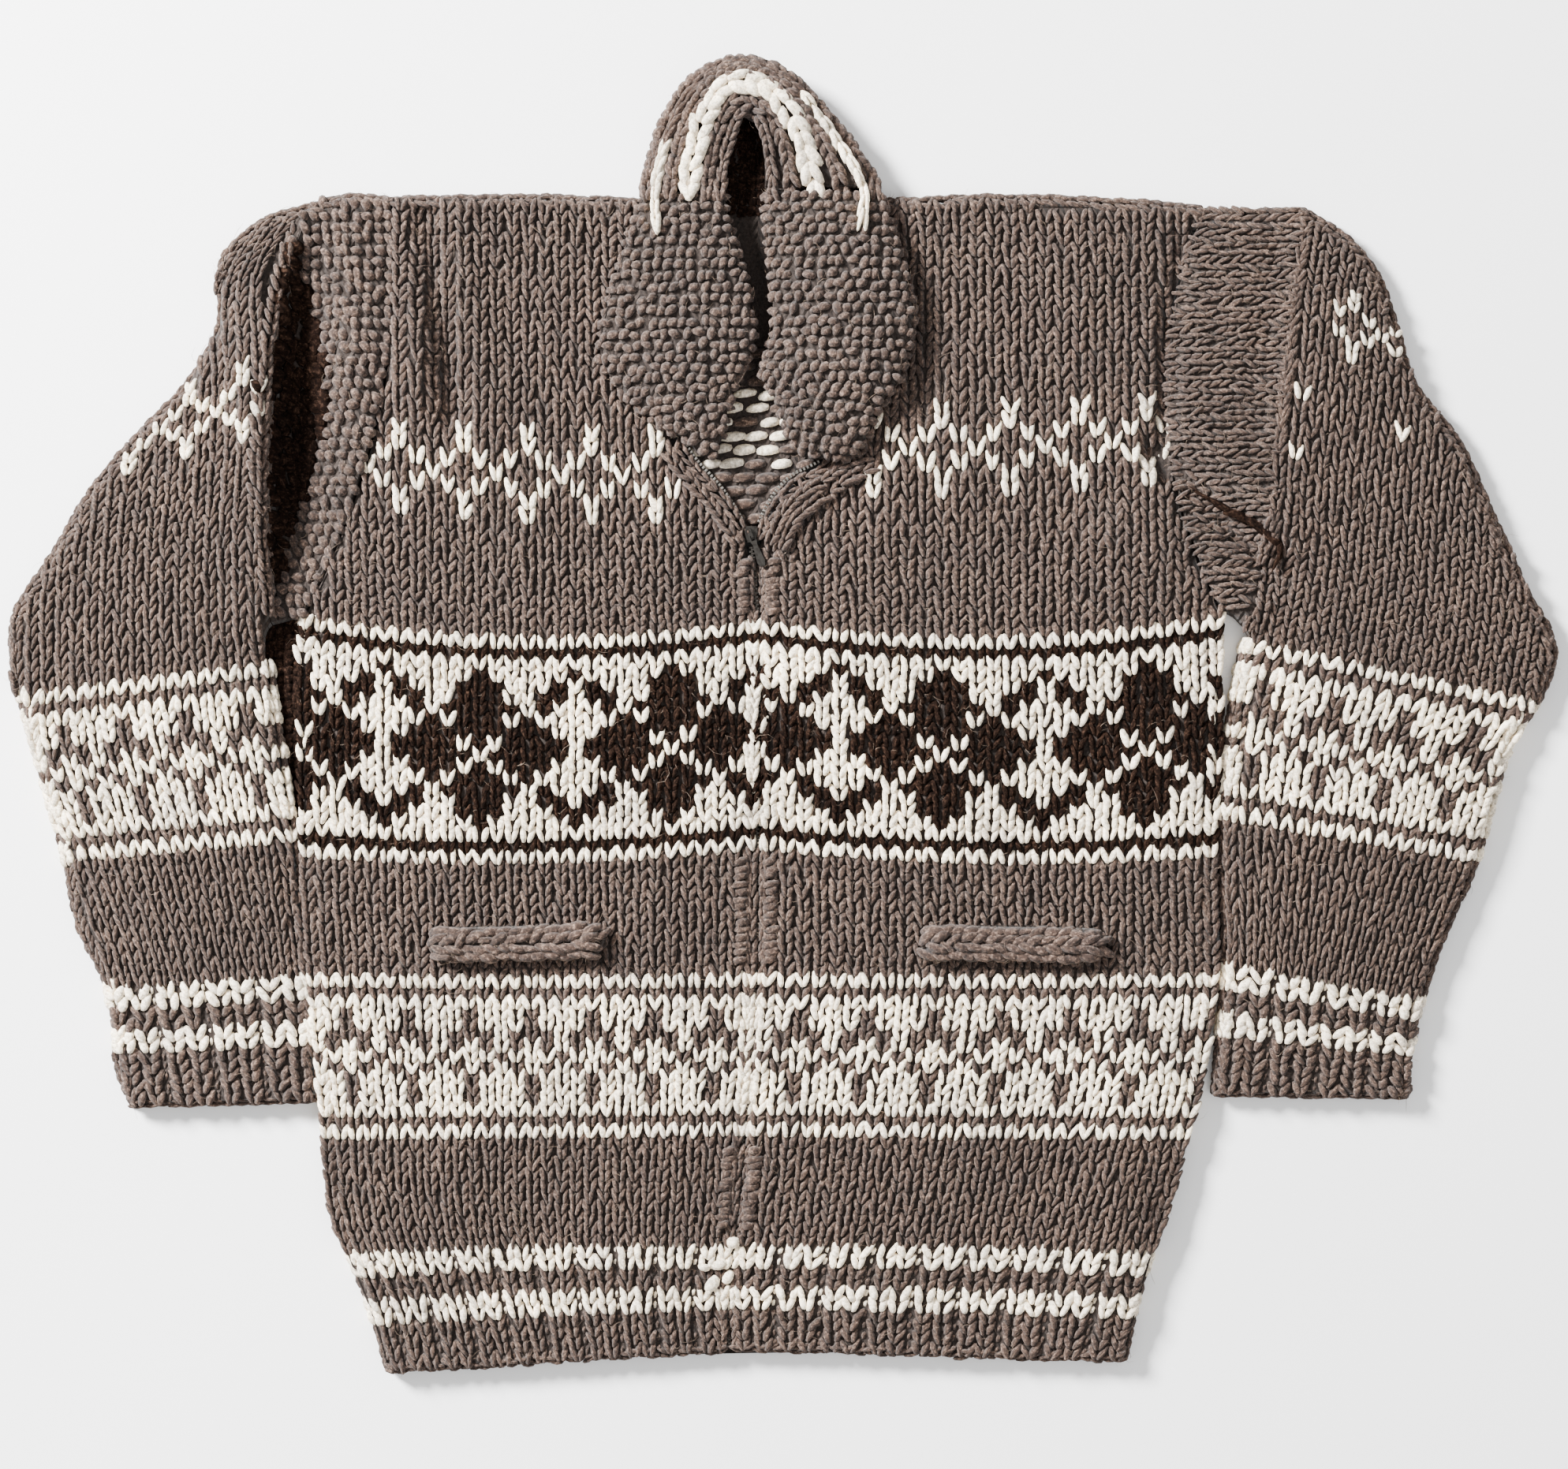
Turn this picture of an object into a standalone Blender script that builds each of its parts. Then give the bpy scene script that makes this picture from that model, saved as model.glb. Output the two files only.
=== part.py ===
"""A chunky hand-knit cardigan with a shawl collar and a metal zip, laid flat with its front up.

Units are metres.  +X runs across the garment, +Y from the hem to the neck, +Z up from the surface
it lies on.  The wearer's right side is at -X.  Tables are in millimetres.
"""

import math

import bmesh
import bpy
from mathutils import Vector

MM = 0.001

# Driving dimensions, in millimetres.
KNIT = 5.8                     # thickness of one layer of the chunky knit
TAPE_THICK = 0.8               # zip tape, sewn behind the front edges
FRONT_BASE = 7.6               # underside of the fronts: back, tape and clearances
FRONT_TOP = FRONT_BASE + KNIT - 0.2
LAPEL_BASE = FRONT_TOP + 0.8   # underside of the lapels
EDGE_ROUND = 7.0               # how far in from a fold a tube's edge is round
SLIT = 0.35                    # half the gap inside a sleeve that lies flat
TAPE_BASE = 6.3
TAPE_WIDTH = 11.0
TAPE_INSET = 0.4               # from the zip's middle line to the tape's edge
TEETH_BASE = 7.5
TEETH_TOP = 11.2
TEETH_HALF = 1.1               # half the width of one open row of teeth
CHAIN_HALF = 1.8               # half the width of the closed teeth
SLIDER_LENGTH = 10.0
SLIDER_WIDTH = 8.0
SLIDER_TOP = 12.8
PULL_LENGTH = 21.0
PULL_WIDTH = 5.0
PULL_THICK = 1.2
PULL_SWING = math.radians(20.0)    # the tab lies a little to the wearer's left
PULL_RISE = math.radians(5.0)      # and climbs onto the knit
HINGE = (-19.3, 111.0, 14.1)       # pivot of the pull tab

# Outline of the right front, hem first: side x, side y, opening x, opening y.
FRONT_RIGHT = (
    (-241, -398, -35.5, -384),
    (-252, -360, -36.5, -353),
    (-273, -305, -32.0, -314),
    (-280, -237, -25.0, -237),
    (-287, -165, -20.0, -162),
    (-291, -92, -19.0, -87),
    (-293, -20, -18.0, -20),
    (-293, 38, -18.0, 53),
    (-292, 60, -21.5, 101),
)
# Outline of the left front, in the same columns.
FRONT_LEFT = (
    (209, -391, -30.5, -384),
    (216, -358, -31.5, -353),
    (231, -307, -27.0, -314),
    (250, -237, -20.0, -237),
    (262, -165, -14.5, -162),
    (262, -87, -13.5, -87),
    (265, -20, -12.5, -20),
    (266, 38, -12.5, 53),
    (265, 65, -15.5, 101),
)
# Neck edges of the fronts above the closed zip: x, y, from the bottom of the V to the shoulder.
NECK_RIGHT = (
    (-27, 113),
    (-36, 128),
    (-47, 141),
    (-58, 153),
    (-69, 170),
    (-71, 222),
    (-69, 270),
    (-63, 313),
)
NECK_LEFT = (
    (-11, 113),
    (-2, 128),
    (8, 138),
    (16, 144),
    (24, 148),
    (32, 156),
    (40, 207),
    (47, 270),
    (54, 313),
)
# Armholes: underarm x, y, shoulder x, y, and how far the seam bows into the body.
ARMHOLE_RIGHT = (-292, 60, -238, 316, 20)
ARMHOLE_LEFT = (265, 65, 255, 310, -27)

# Sleeves, from the armhole to the cuff.  Each row is one line across the sleeve: inner x, inner y,
# outer x, outer y, bow of the line, height of the cloth at its middle.
SLEEVE_RIGHT = (
    (-293, 60, -239, 316, 20, 14),
    (-300, 58, -262, 318, 8, 16),
    (-307, 56, -281, 315, -12, 14),
    (-311, 55, -288, 312, -14, 34),
    (-313, 53, -318, 302, 0, 36),
    (-314, 51, -342, 279, 0, 32),
    (-315, 48, -344, 239, 0, 29),
    (-315, 45, -365, 202, 0, 26),
    (-315, 43, -391, 175, 0, 23),
    (-315, 40, -420, 141, 0, 21),
    (-315, 37, -443, 103, 0, 19),
    (-315, 33, -470, 56, 0, 18),
    (-314, 24, -470, 24, 0, 18),
    (-308, 0, -459, -10, 0, 18),
    (-304, -37, -449, -48, 0, 17),
    (-300, -75, -438, -87, 0, 17),
    (-296, -116, -430, -127, 0, 16),
    (-292, -160, -414, -161, 0, 15),
    (-290, -184, -407, -184, 0, 15),
    (-288, -208, -407, -208, 0, 15),
    (-286, -233, -398, -236, 0, 14),
)
SLEEVE_LEFT = (
    (266, 65, 256, 308, -27, 14),
    (270, 62, 289, 308, -8, 17),
    (274, 60, 318, 309, 0, 19),
    (276, 58, 342, 294, 0, 20),
    (278, 56, 362, 271, 0, 20),
    (280, 54, 373, 241, 0, 19),
    (281, 52, 386, 202, 0, 19),
    (282, 50, 412, 169, 0, 18),
    (283, 48, 431, 128, 0, 18),
    (283, 46, 451, 83, 0, 18),
    (283, 42, 471, 36, 0, 18),
    (282, 32, 460, 8, 0, 18),
    (279, 6, 445, -14, 0, 18),
    (274, -25, 435, -46, 0, 17),
    (269, -61, 424, -87, 0, 17),
    (269, -102, 409, -121, 0, 16),
    (270, -131, 396, -153, 0, 16),
    (271, -160, 389, -177, 0, 15),
    (268, -189, 381, -203, 0, 15),
    (264, -229, 380, -231, 0, 14),
)
# Lapels, from the back collar down: left x, y, right x, y, height at the left and right edges.
LAPEL_RIGHT = (
    (-85, 318, -35, 318, 8, 12),
    (-91, 300, -33, 300, 8, 12),
    (-98, 280, -26, 280, 8, 13),
    (-108, 246, -19, 246, 8, 14),
    (-112, 227, -17, 227, 8, 13),
    (-107, 210, -24, 211, 8, 12),
    (-98, 197, -30, 199, 8, 11),
    (-79, 179, -35, 180, 8, 10),
    (-60, 168, -38, 165, 7, 8),
    (-52, 159, -42, 157, 6, 6),
)
LAPEL_LEFT = (
    (-11, 318, 59, 318, 13, 15),
    (-10, 300, 65, 300, 13, 16),
    (-8, 280, 72, 280, 14, 18),
    (-6, 246, 80, 246, 15, 20),
    (-7, 227, 77, 227, 14, 20),
    (-13, 208, 72, 206, 13, 19),
    (-4, 193, 58, 187, 12, 17),
    (1, 177, 52, 171, 11, 15),
    (6, 165, 45, 161, 9, 12),
    (12, 158, 36, 155, 7, 8),
)
# The back collar, folded over its top: outer x, outer y, free edge x, free edge y, height of the free
# layer, and how far the hidden layer reaches in from the fold, to close the neck at the back.
COLLAR_BACK = (
    (-84, 321, -35, 321, 12, 61),
    (-80, 337, -33, 337, 14, 57),
    (-69, 367, -27, 356, 16, 47),
    (-50, 390, -24, 364, 18, 37),
    (-23, 399, -21, 367, 19, 33),
    (1, 390, -18, 364, 19, 33),
    (23, 369, -14, 356, 19, 46),
    (46, 340, -11, 336, 18, 67),
    (58, 321, -11, 321, 17, 80),
)
# The closed zip, hem first, and its two open rows of teeth: x, y.
ZIP_LINE = ((-33, -384), (-34, -353), (-29.5, -314), (-22.5, -237), (-17.2, -162), (-16.2, -87),
            (-15.2, -20), (-15.2, 53), (-18.4, 96), (-19, 105.5))
TEETH_RIGHT = ((-24, 118.5), (-30, 129), (-40, 143), (-52, 156), (-63, 172))
TEETH_LEFT = ((-14.5, 118.5), (-9, 130), (-1, 141), (7, 148), (15, 152), (25, 157))
# Pocket welts: left x, y, right x, y.
WELT_RIGHT = (-214, -139, -107, -136)
WELT_LEFT = (84, -137, 197, -139)
WELT_DEPTH = 22.0
WELT_HEIGHT = 8.5

# Soft ridges where the cloth does not lie quite flat: x, y, direction in degrees, half length,
# half width, height.
FOLDS = (
    (-222, 235, 85, 70, 20, 5.0),
    (-150, 100, 100, 60, 26, 3.0),
    (-190, -40, 80, 70, 30, 3.5),
    (-110, -215, 95, 60, 26, 3.0),
    (-210, -300, 85, 55, 26, 3.5),
    (110, -30, 92, 70, 28, 3.0),
    (205, 95, 100, 55, 24, 4.0),
    (180, 240, 80, 50, 22, 3.0),
    (120, -225, 85, 60, 26, 3.5),
    (195, -290, 100, 60, 24, 3.0),
)

MATERIALS = {
    # name: base colour, roughness, metallic
    "grey_brown_knit": ((0.098, 0.078, 0.068), 0.95, 0.0),
    "collar_knit": ((0.090, 0.072, 0.064), 0.95, 0.0),
    "welt_knit": ((0.105, 0.085, 0.075), 0.95, 0.0),
    "black_tape": ((0.012, 0.011, 0.011), 0.80, 0.0),
    "zip_metal": ((0.42, 0.40, 0.36), 0.35, 1.0),
    "dark_metal": ((0.05, 0.045, 0.04), 0.40, 1.0),
}


def make_material(name):
    """Principled material from the table above."""
    colour, roughness, metallic = MATERIALS[name]
    material = bpy.data.materials.new(name)
    material.use_nodes = True
    shader = material.node_tree.nodes["Principled BSDF"]
    shader.inputs["Base Color"].default_value = (*colour, 1.0)
    shader.inputs["Roughness"].default_value = roughness
    shader.inputs["Metallic"].default_value = metallic
    return material


def catmull(values, u):
    """Smooth value at u (0 to 1) through equally spaced values."""
    last = len(values) - 1
    place = min(max(u, 0.0), 1.0) * last
    i = min(int(place), last - 1)
    f = place - i
    p1 = values[i]
    p2 = values[i + 1]
    p0 = values[i - 1] if i > 0 else 2 * p1 - p2
    p3 = values[i + 2] if i + 2 <= last else 2 * p2 - p1
    a = 2 * p0 - 5 * p1 + 4 * p2 - p3
    b = 3 * (p1 - p2) + p3 - p0
    return p1 + 0.5 * f * (p2 - p0 + f * (a + f * b))


def smooth_row(table, u):
    """All columns of a table at u (0 to 1)."""
    return [catmull([row[k] for row in table], u) for k in range(len(table[0]))]


def armhole_point(seam, t):
    """Point on an armhole seam, from the underarm (0) to the shoulder (1)."""
    ux, uy, sx, sy, bow = seam
    return ux + (sx - ux) * t + 4 * bow * t * (1 - t), uy + (sy - uy) * t


def fold_height(x, y):
    """Height that the soft ridges add at a place on the fronts."""
    total = 0.0
    for fx, fy, degrees, half_length, half_width, height in FOLDS:
        angle = math.radians(degrees)
        along = (x - fx) * math.cos(angle) + (y - fy) * math.sin(angle)
        across = (y - fy) * math.cos(angle) - (x - fx) * math.sin(angle)
        total += height * math.exp(-(along / half_length) ** 2 - (across / half_width) ** 2)
    return total


def new_object(name, bm, material, pivot=(0.0, 0.0, 0.0)):
    """Turn a bmesh in millimetres into a named object whose origin is at the pivot."""
    bmesh.ops.recalc_face_normals(bm, faces=bm.faces)
    for vert in bm.verts:
        vert.co = (vert.co - Vector(pivot)) * MM
    mesh = bpy.data.meshes.new(name)
    bm.to_mesh(mesh)
    bm.free()
    mesh.shade_smooth()
    mesh.set_sharp_from_angle(angle=math.radians(50.0))
    mesh.materials.append(make_material(material))
    obj = bpy.data.objects.new(name, mesh)
    obj.location = Vector(pivot) * MM
    bpy.context.collection.objects.link(obj)
    return obj


def wall(name, outer, inner, material, ring=False):
    """Closed wall of cloth between two grids of points, rows first.

    With ring set, each row closes on itself, so the wall is a tube with open ends.
    """
    bm = bmesh.new()
    outside = [[bm.verts.new(p) for p in row] for row in outer]
    inside = [[bm.verts.new(p) for p in row] for row in inner]
    rows = len(outside)
    columns = len(outside[0])
    spans = columns if ring else columns - 1
    for layer in (outside, inside):
        for r in range(rows - 1):
            for c in range(spans):
                d = (c + 1) % columns
                bm.faces.new((layer[r][c], layer[r][d], layer[r + 1][d], layer[r + 1][c]))
    for r in (0, rows - 1):
        for c in range(spans):
            d = (c + 1) % columns
            bm.faces.new((outside[r][c], outside[r][d], inside[r][d], inside[r][c]))
    if not ring:
        for c in (0, columns - 1):
            for r in range(rows - 1):
                bm.faces.new((outside[r][c], outside[r + 1][c], inside[r + 1][c], inside[r][c]))
    return new_object(name, bm, material)


def front_rows(body, neck, seam, armhole_rows=9):
    """Lines across a front, hem first: pairs of side and opening points."""
    rows = []
    steps = (len(body) - 1) * 2
    for k in range(steps + 1):
        side_x, side_y, open_x, open_y = smooth_row(body, k / steps)
        rows.append(((side_x, side_y), (open_x, open_y)))
    for k in range(1, armhole_rows + 1):
        t = k / armhole_rows
        rows.append((armhole_point(seam, t), tuple(smooth_row(neck, t))))
    return rows


def front_panel(name, body, neck, seam, columns=12):
    """One front: a wall of knit that follows the soft ridges, with thinned edges."""
    outer = []
    inner = []
    for side, opening in front_rows(body, neck, seam):
        upper = []
        lower = []
        for c in range(columns + 1):
            t = 0.5 - 0.5 * math.cos(math.pi * c / columns)
            t = 0.4 * t + 0.6 * c / columns
            x = side[0] + (opening[0] - side[0]) * t
            y = side[1] + (opening[1] - side[1]) * t
            lift = fold_height(x, y)
            thin = 1.6 if c in (0, columns) else 0.0
            upper.append((x, y, FRONT_TOP + lift - thin))
            lower.append((x, y, FRONT_BASE + lift))
        outer.append(upper)
        inner.append(lower)
    return wall(name, outer, inner, "grey_brown_knit")


def back_panel(columns=14):
    """The back, flat on the surface, with the outline of the two fronts."""
    right = front_rows(FRONT_RIGHT, NECK_RIGHT, ARMHOLE_RIGHT)
    left = front_rows(FRONT_LEFT, NECK_LEFT, ARMHOLE_LEFT)
    outer = []
    inner = []
    for (side_r, _), (side_l, _) in zip(right, left):
        upper = []
        lower = []
        for c in range(columns + 1):
            t = c / columns
            x = side_r[0] + (side_l[0] - side_r[0]) * t
            y = side_r[1] + (side_l[1] - side_r[1]) * t
            y += 6.0 * math.sin(math.pi * t) * max(0.0, (-y - 300.0) / 100.0)
            thin = 1.2 if c in (0, columns) else 0.0
            upper.append((x, y, KNIT - thin))
            lower.append((x, y, 0.0))
        outer.append(upper)
        inner.append(lower)
    return wall("back", outer, inner, "grey_brown_knit")


def tube_height(distance, width, middle):
    """Height of a laid tube's upper side at a distance in from its edge."""
    edge = 12.8
    share = min(max(distance / width, 0.0), 1.0)
    crown = edge + (middle - edge) * math.sin(math.pi * share) ** 0.8
    inset = min(distance, width - distance)
    if inset < EDGE_ROUND:
        turn = math.sqrt(1.0 - (1.0 - inset / EDGE_ROUND) ** 2)
        return edge * 0.5 + (crown - edge * 0.5) * turn
    return crown


def sleeve(name, table, columns=11):
    """A sleeve laid flat: a tube from armhole to cuff with a thin gap between its two layers.

    Where the shoulder folds under, the hidden folds are one with the lower layer.
    """
    outer = []
    inner = []
    for inner_x, inner_y, outer_x, outer_y, bow, middle in table:
        width = math.hypot(outer_x - inner_x, outer_y - inner_y)
        share = [0.0, 2.0 / width, EDGE_ROUND / width]
        share += [0.5 + (k / (columns - 5) - 0.5) * 0.80 for k in range(columns - 4)]
        share += [1.0 - EDGE_ROUND / width, 1.0 - 2.0 / width, 1.0]
        line = []
        for t in share:
            x = inner_x + (outer_x - inner_x) * t + 4 * bow * t * (1 - t)
            y = inner_y + (outer_y - inner_y) * t
            line.append((x, y, t))
        top = [(x, y, tube_height(t * width, width, middle)) for x, y, t in line]
        flat = []
        for x, y, t in line:
            inset = min(t, 1 - t) * width
            turn = math.sqrt(max(0.0, 1 - (1 - min(inset / EDGE_ROUND, 1.0)) ** 2))
            flat.append((x, y, 6.4 * (1 - turn)))
        outer.append(top + flat[-2:0:-1])
        slit_top = []
        slit_low = []
        for x, y, t in line:
            s = KNIT / width + t * (1 - 2 * KNIT / width)
            sx = inner_x + (outer_x - inner_x) * s + 4 * bow * s * (1 - s)
            sy = inner_y + (outer_y - inner_y) * s
            half = SLIT * min(1.0, 0.25 + 4 * min(t, 1 - t)) if 0 < t < 1 else 0.0
            level = tube_height(s * width, width, middle) - KNIT - SLIT
            slit_top.append((sx, sy, level + half))
            slit_low.append((sx, sy, level - half))
        inner.append(slit_top + slit_low[-2:0:-1])
    return wall(name, outer, inner, "grey_brown_knit", ring=True)


def lapel(name, table, columns=8, rows=17):
    """A lapel: two layers of garter knit folded together, thick and rounded at its edges."""
    outer = []
    inner = []
    for k in range(rows):
        left_x, left_y, right_x, right_y, left_h, right_h = smooth_row(table, k / (rows - 1))
        end = min(k, rows - 1 - k)
        soft = 0.75 if end == 0 else 1.0
        upper = []
        lower = []
        for c in range(columns + 1):
            t = 0.5 - 0.5 * math.cos(math.pi * c / columns)
            x = left_x + (right_x - left_x) * t
            y = left_y + (right_y - left_y) * t
            crown = (left_h + (right_h - left_h) * t) * soft
            crown *= 0.55 + 0.45 * math.sin(math.pi * t) ** 0.6
            upper.append((x, y, LAPEL_BASE + crown))
            lower.append((x, y, LAPEL_BASE))
        outer.append(upper)
        inner.append(lower)
    return wall(name, outer, inner, "collar_knit")


def collar_back(rows=17):
    """The back collar, folded over its outer edge, so that its free edge lies above the neck."""
    outer = []
    inner = []
    for k in range(rows):
        out_x, out_y, free_x, free_y, height, reach = smooth_row(COLLAR_BACK, k / (rows - 1))
        width = math.hypot(free_x - out_x, free_y - out_y)
        dx = (free_x - out_x) / width
        dy = (free_y - out_y) / width
        top = 7.0 + height
        # Section: distance in from the fold and height, from the hidden edge round to the free one.
        outside = [(reach, 0.0), (reach * 0.5, 0.0), (7.0, 0.0), (1.5, 3.0), (0.0, 0.42 * top),
                   (2.5, 0.80 * top), (9.0, 0.97 * top), (width * 0.5, top), (width, top - 2.0)]
        inside = [(reach, KNIT), (reach * 0.5 + 2.0, KNIT), (11.0, KNIT), (8.0, KNIT + 1.0),
                  (7.0, 0.5 * top - 0.3), (8.4, 0.5 * top), (12.0, top - KNIT - 1.4),
                  (width * 0.5 + 2.0, top - KNIT - 0.6), (width, top - KNIT - 1.6)]
        outer.append([(out_x + dx * s, out_y + dy * s, z) for s, z in outside])
        inner.append([(out_x + dx * s, out_y + dy * s, z) for s, z in inside])
    return wall("collar_back", outer, inner, "collar_knit")


def along(points, count):
    """Evenly spaced places along a smooth line, with the direction to its left."""
    places = []
    for k in range(count):
        u = k / (count - 1)
        x, y = smooth_row(points, u)
        ax, ay = smooth_row(points, max(u - 0.01, 0.0))
        bx, by = smooth_row(points, min(u + 0.01, 1.0))
        length = math.hypot(bx - ax, by - ay)
        places.append((x, y, -(by - ay) / length, (bx - ax) / length))
    return places


def strip(name, points, count, left, right, base, top, material):
    """A flat strip along a line, between two distances to the line's left."""
    outer = []
    inner = []
    for x, y, nx, ny in along(points, count):
        edges = [(x + nx * s, y + ny * s) for s in (left, right)]
        outer.append([(ex, ey, top) for ex, ey in edges])
        inner.append([(ex, ey, base) for ex, ey in edges])
    return wall(name, outer, inner, material)


def welt(name, ends, rows=15, columns=8):
    """A thick rolled welt along a pocket mouth, made on the front's own surface."""
    left_x, left_y, right_x, right_y = ends
    outer = []
    inner = []
    for k in range(rows):
        t = k / (rows - 1)
        x = left_x + (right_x - left_x) * t
        y = left_y + (right_y - left_y) * t
        end = min(t, 1 - t) * (right_x - left_x) / 6.0
        full = math.sqrt(max(0.0, 1.0 - (1.0 - min(end, 1.0)) ** 2)) * 0.6 + 0.4
        upper = []
        lower = []
        for c in range(columns + 1):
            angle = math.pi * c / columns
            py = y - 0.5 * WELT_DEPTH * full * math.cos(angle)
            ground = FRONT_TOP + fold_height(x, py) + 0.6
            upper.append((x, py, ground + 1.2 + WELT_HEIGHT * full * math.sin(angle) ** 0.8))
            lower.append((x, py, ground))
        outer.append(upper)
        inner.append(lower)
    return wall(name, outer, inner, "welt_knit")


def extrude_outline(bm, outline, base, top):
    """Closed prism of an outline in the XY plane."""
    low = [bm.verts.new((x, y, base)) for x, y in outline]
    high = [bm.verts.new((x, y, top)) for x, y in outline]
    bm.faces.new(low)
    bm.faces.new(high)
    count = len(outline)
    for i in range(count):
        j = (i + 1) % count
        bm.faces.new((low[i], low[j], high[j], high[i]))


def turn_flat(point):
    """Turn a point about the hinge, in plan, from straight down the zip to where the tab lies."""
    x, y, z = point
    hx, hy, _ = HINGE
    c = math.cos(PULL_SWING)
    s = math.sin(PULL_SWING)
    return hx + (x - hx) * c - (y - hy) * s, hy + (x - hx) * s + (y - hy) * c, z


def zip_slider():
    """The slider: a tapered body with an arched bridge that holds the pull tab."""
    hx, hy, hz = HINGE
    half = SLIDER_WIDTH * 0.5
    outline = ((hx - half * 0.62, hy - 5.0), (hx + half * 0.62, hy - 5.0), (hx + half, hy + 1.5),
               (hx + half * 0.8, hy + SLIDER_LENGTH - 5.0), (hx - half * 0.8, hy + SLIDER_LENGTH - 5.0),
               (hx - half, hy + 1.5))
    # The bridge's outline, from the side: distance along the zip and height.
    bridge = ((-4.0, SLIDER_TOP), (-3.4, hz + 1.5), (-2.2, hz + 2.4), (2.2, hz + 2.4), (3.4, hz + 1.5),
              (4.0, SLIDER_TOP), (2.0, SLIDER_TOP), (1.5, hz + 1.2), (-1.5, hz + 1.2),
              (-2.0, SLIDER_TOP))
    bm = bmesh.new()
    extrude_outline(bm, outline, TEETH_BASE, SLIDER_TOP)
    body = new_object("zip_slider", bm, "dark_metal")
    arch = bmesh.new()
    near = [arch.verts.new(turn_flat((hx - 0.7, hy + y, z if z > SLIDER_TOP else z - 0.6)))
            for y, z in bridge]
    far = [arch.verts.new(turn_flat((hx + 0.7, hy + y, z if z > SLIDER_TOP else z - 0.6)))
           for y, z in bridge]
    arch.faces.new(near)
    arch.faces.new(far)
    for i in range(len(bridge)):
        j = (i + 1) % len(bridge)
        arch.faces.new((near[i], near[j], far[j], far[i]))
    cutter = new_object("bridge_form", arch, "dark_metal")
    cutter.hide_render = True
    cutter.display_type = "WIRE"
    union = body.modifiers.new("bridge", "BOOLEAN")
    union.operation = "UNION"
    union.object = cutter
    return body


def pull_tab():
    """The pull tab: a slim plate with an eye round the slider's bridge, lying down at rest."""
    hx, hy, hz = HINGE
    half = PULL_WIDTH * 0.5
    eye = 1.3
    bar = 0.9
    plate = ((-half * 0.8, bar), (half * 0.8, bar), (half * 0.8, -5.0), (half * 0.55, -7.0),
             (half, -PULL_LENGTH + 3.0), (half * 0.6, -PULL_LENGTH), (-half * 0.6, -PULL_LENGTH),
             (-half, -PULL_LENGTH + 3.0), (-half * 0.55, -7.0), (-half * 0.8, -5.0))
    hole = ((-eye, -bar), (eye, -bar), (eye, -4.4), (-eye, -4.4))
    bm = bmesh.new()
    extrude_outline(bm, [(hx + x, hy + y) for x, y in plate], hz - PULL_THICK / 2, hz + PULL_THICK / 2)
    cut = bmesh.new()
    extrude_outline(cut, [(hx + x, hy + y) for x, y in hole], hz - 3.0, hz + 3.0)
    tab = new_object("zip_pull_tab", bm, "dark_metal", pivot=HINGE)
    cutter = new_object("eye_form", cut, "dark_metal", pivot=HINGE)
    for obj in (tab, cutter):
        obj.rotation_euler = (-PULL_RISE, 0.0, PULL_SWING)
    cutter.hide_render = True
    cutter.display_type = "WIRE"
    opening = tab.modifiers.new("eye", "BOOLEAN")
    opening.operation = "DIFFERENCE"
    opening.object = cutter
    return tab


def build():
    """Make every piece of the cardigan."""
    for obj in list(bpy.data.objects):
        bpy.data.objects.remove(obj, do_unlink=True)
    back_panel()
    front_panel("front_right", FRONT_RIGHT, NECK_RIGHT, ARMHOLE_RIGHT)
    front_panel("front_left", FRONT_LEFT, NECK_LEFT, ARMHOLE_LEFT)
    sleeve("sleeve_right", SLEEVE_RIGHT)
    sleeve("sleeve_left", SLEEVE_LEFT)
    lapel("lapel_right", LAPEL_RIGHT)
    lapel("lapel_left", LAPEL_LEFT)
    collar_back()
    welt("pocket_welt_right", WELT_RIGHT)
    welt("pocket_welt_left", WELT_LEFT)
    strip("zip_tape_right", ZIP_LINE + TEETH_RIGHT, 40, TAPE_WIDTH, TAPE_INSET, TAPE_BASE,
          TAPE_BASE + TAPE_THICK, "black_tape")
    strip("zip_tape_left", ZIP_LINE + TEETH_LEFT, 40, -TAPE_INSET, -TAPE_WIDTH, TAPE_BASE,
          TAPE_BASE + TAPE_THICK, "black_tape")
    strip("zip_chain", ZIP_LINE, 30, CHAIN_HALF, -CHAIN_HALF, TEETH_BASE, TEETH_TOP, "zip_metal")
    strip("zip_teeth_right", TEETH_RIGHT, 10, TEETH_HALF, -TEETH_HALF, TEETH_BASE, TEETH_TOP,
          "zip_metal")
    strip("zip_teeth_left", TEETH_LEFT, 10, TEETH_HALF, -TEETH_HALF, TEETH_BASE, TEETH_TOP,
          "zip_metal")
    zip_slider()
    pull_tab()


build()
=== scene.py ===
"""A chunky hand-knit zip cardigan with a shawl collar, laid flat with its front up.

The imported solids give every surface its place.  Each knitted piece is a thin shell on its solid,
covered with real stitches: two plump legs of yarn for each stitch, laid wale by wale and row by row.
Lengths in the tables are millimetres; everything handed to Blender is in metres.
"""

import logging
import math
from dataclasses import dataclass
from enum import Enum
from typing import Sequence

import bmesh
import bpy
import numpy as np
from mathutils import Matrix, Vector
from mathutils.bvhtree import BVHTree


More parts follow.
